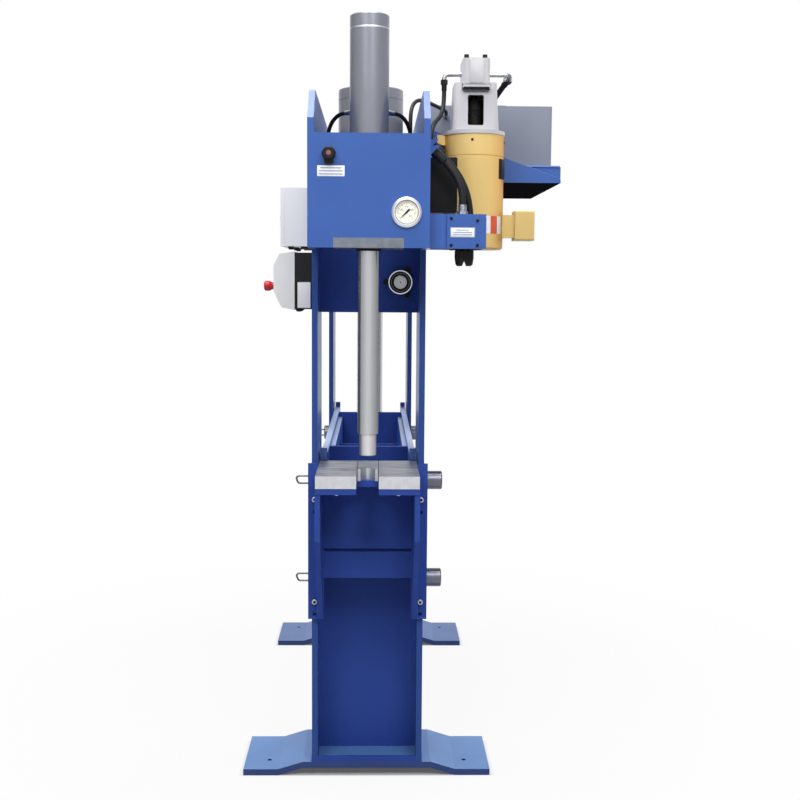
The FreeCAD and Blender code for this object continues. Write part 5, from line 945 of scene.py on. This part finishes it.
def rays_of(nodes, links, kinds):
    """1 for rays of the given kinds and 0 for all others."""
    seen = nodes.new("ShaderNodeLightPath")
    share = seen.outputs[kinds[0]]
    for kind in kinds[1:]:
        either = nodes.new("ShaderNodeMath")
        either.operation = "MAXIMUM"
        links.new(share, either.inputs[0])
        links.new(seen.outputs[kind], either.inputs[1])
        share = either.outputs[0]
    return share


def studio_floor():
    """A pale floor that takes the press's shadow, dark under the feet, and goes out to plain white."""
    half_size, floor_grey = 14, (0.45, 0.45, 0.46, 1)
    under_feet, near_press, all_white = 0.1, 0.9, 1.0
    round_feet, going_out = (0.97, 1.05), (0.5, 2.2)
    shape = bmesh.new()
    bmesh.ops.create_grid(shape, x_segments=1, y_segments=1, size=half_size)
    mesh = bpy.data.meshes.new("studio_floor")
    shape.to_mesh(mesh)
    shape.free()
    floor = bpy.data.objects.new("studio_floor", mesh)
    scene.collection.objects.link(floor)
    ground = Finish("studio_floor")
    ground.shader.inputs["Base Color"].default_value = floor_grey
    ground.shader.inputs["Roughness"].default_value = 0.8
    distance = ground.nodes.new("ShaderNodeVectorMath")
    distance.operation = "LENGTH"
    ground.links.new(ground.metres, distance.inputs[0])
    from_middle = ground.reckon("ABSOLUTE", ground.along("Y"))
    off_foot = ground.reckon("ABSOLUTE", ground.reckon("SUBTRACT", from_middle, FOOT_MIDDLE))
    width_share = ground.reckon("DIVIDE", ground.reckon("ABSOLUTE", ground.along("X")), FOOT_HALF_WIDTH)
    depth_share = ground.reckon("DIVIDE", off_foot, FOOT_HALF_DEPTH)
    beside = ground.spread(
        ground.reckon("MAXIMUM", width_share, depth_share), under_feet, all_white, *round_feet)
    outwards = ground.spread(distance.outputs["Value"], near_press, all_white, *going_out)
    white = ground.reckon("MULTIPLY", outwards, beside)
    seen = rays_of(ground.nodes, ground.links, ("Is Camera Ray", "Is Glossy Ray"))
    glow = ground.nodes.new("ShaderNodeEmission")
    mix = ground.nodes.new("ShaderNodeMixShader")
    ground.links.new(ground.reckon("MULTIPLY", seen, white), mix.inputs["Fac"])
    ground.links.new(ground.shader.outputs[0], mix.inputs[1])
    ground.links.new(glow.outputs[0], mix.inputs[2])
    ground.links.new(mix.outputs[0], ground.nodes["Material Output"].inputs["Surface"])
    mesh.materials.append(ground.material)


def studio_air():
    """White behind the press for the camera and for what it mirrors, and a soft light on everything."""
    even_light, white = 0.13, 1.0
    world = bpy.data.worlds.new("studio_air")
    scene.world = world
    world.use_nodes = True
    nodes, links = world.node_tree.nodes, world.node_tree.links
    back = nodes["Background"]
    back.inputs["Color"].default_value = (1, 1, 1, 1)
    level = nodes.new("ShaderNodeMapRange")
    level.inputs["To Min"].default_value = even_light
    level.inputs["To Max"].default_value = white
    seen = rays_of(nodes, links, ("Is Camera Ray", "Is Glossy Ray", "Is Transmission Ray"))
    links.new(seen, level.inputs["Value"])
    links.new(level.outputs["Result"], back.inputs["Strength"])


def soft_lamp(name, place, target, size, power, mirrored=True):
    """A square lamp. Unless it is mirrored, it lights the press without showing in its gloss."""
    lamp = bpy.data.lights.new(name, "AREA")
    lamp.shape = "SQUARE"
    lamp.size = size
    lamp.energy = power
    holder = bpy.data.objects.new(name, lamp)
    scene.collection.objects.link(holder)
    holder.visible_glossy = mirrored
    holder.location = place
    holder.rotation_euler = (Vector(target) - Vector(place)).to_track_quat("-Z", "Y").to_euler()


def grey_card(name, corner, far_corner, near_grey, far_grey):
    """An upright card that shows only in the press's gloss, so that rods and drums get a shaded side."""
    card_height = 3.6
    start, end = Vector(corner), Vector(far_corner)
    length = (end - start).length
    shape = bmesh.new()
    bmesh.ops.create_grid(shape, x_segments=1, y_segments=1, size=0.5)
    bmesh.ops.scale(shape, vec=(length, card_height, 1), verts=shape.verts)
    mesh = bpy.data.meshes.new(name)
    shape.to_mesh(mesh)
    shape.free()
    card = bpy.data.objects.new(name, mesh)
    scene.collection.objects.link(card)
    side = (end - start).normalized()
    turn = Matrix((side, UPWARDS, side.cross(UPWARDS))).transposed().to_4x4()
    card.matrix_world = Matrix.Translation((start + end) / 2) @ turn
    card.visible_camera = False
    card.visible_diffuse = False
    card.visible_shadow = False
    cloth = Finish(name)
    shade = cloth.spread(cloth.along("X"), near_grey, far_grey, -length / 2, length / 2)
    glow = cloth.nodes.new("ShaderNodeEmission")
    cloth.links.new(shade, glow.inputs["Strength"])
    cloth.links.new(glow.outputs[0], cloth.nodes["Material Output"].inputs["Surface"])
    mesh.materials.append(cloth.material)


def studio_camera():
    """The photograph's view: level with the head, turned a little to the right and down."""
    place, turned_right, looking_down, rolled = (0.021, -4.3395, 1.562), 1.23, 5.89, 0.42
    lens = bpy.data.cameras.new("studio_camera")
    lens.sensor_width = 36
    lens.lens = 52.34
    lens.clip_end = 60
    camera = bpy.data.objects.new("studio_camera", lens)
    scene.collection.objects.link(camera)
    turn = (
        Matrix.Rotation(math.radians(-turned_right), 4, "Z")
        @ Matrix.Rotation(math.radians(90 - looking_down), 4, "X")
        @ Matrix.Rotation(math.radians(rolled), 4, "Z")
    )
    camera.matrix_world = Matrix.Translation(place) @ turn
    scene.camera = camera


def studio_lights():
    """Grey cards and lamps: two lamps in front, one above, and three that only lift the sides and back."""
    card_middle, side_size, side_target = 1.5, 2.4, (0, 0, 1.2)
    grey_card("card_right", (1.0, -3.9, card_middle), (2.6, 1.2, card_middle), 0.97, 0.25)
    grey_card("card_left", (-1.2, -3.6, card_middle), (-2.5, -0.75, card_middle), 0.95, 0.5)
    grey_card("card_far_left", (-2.5, -0.74, card_middle), (-3.3, 3.6, card_middle), 0.1, 0.1)
    soft_lamp("lamp_left", (-1.3, -3.5, 4.1), (0, -0.8, 1.5), 1.6, 80)
    soft_lamp("lamp_right", (1.2, -3.6, 4.1), (0, -0.8, 1.5), 1.6, 88)
    soft_lamp("lamp_top", (-0.1, -1.0, 4.9), (0, -0.6, 1.0), 2.0, 125)
    soft_lamp("lamp_side_left", (-4.2, 0.8, 2.6), side_target, side_size, 100, mirrored=False)
    soft_lamp("lamp_side_right", (4.2, 0.8, 2.6), side_target, side_size, 140, mirrored=False)
    soft_lamp("lamp_behind", (0, 4.6, 3.0), side_target, side_size, 140, mirrored=False)


paint_nodes()
studio_camera()
for hose_facts in HOSES:
    make_hose(*hose_facts)
end_plate_label()
valve_box_front()
gauge_scale()
motor_details()
pump_details()
bearing_rings()
barrel_seam()
regulator_details()
gauge_bezel()
console_details()
cabinet_details()
table_sockets()
weld_beads()
tray_beads()
hose_sleeves()
studio_floor()
studio_air()
studio_lights()
scene.view_settings.view_transform = "Standard"
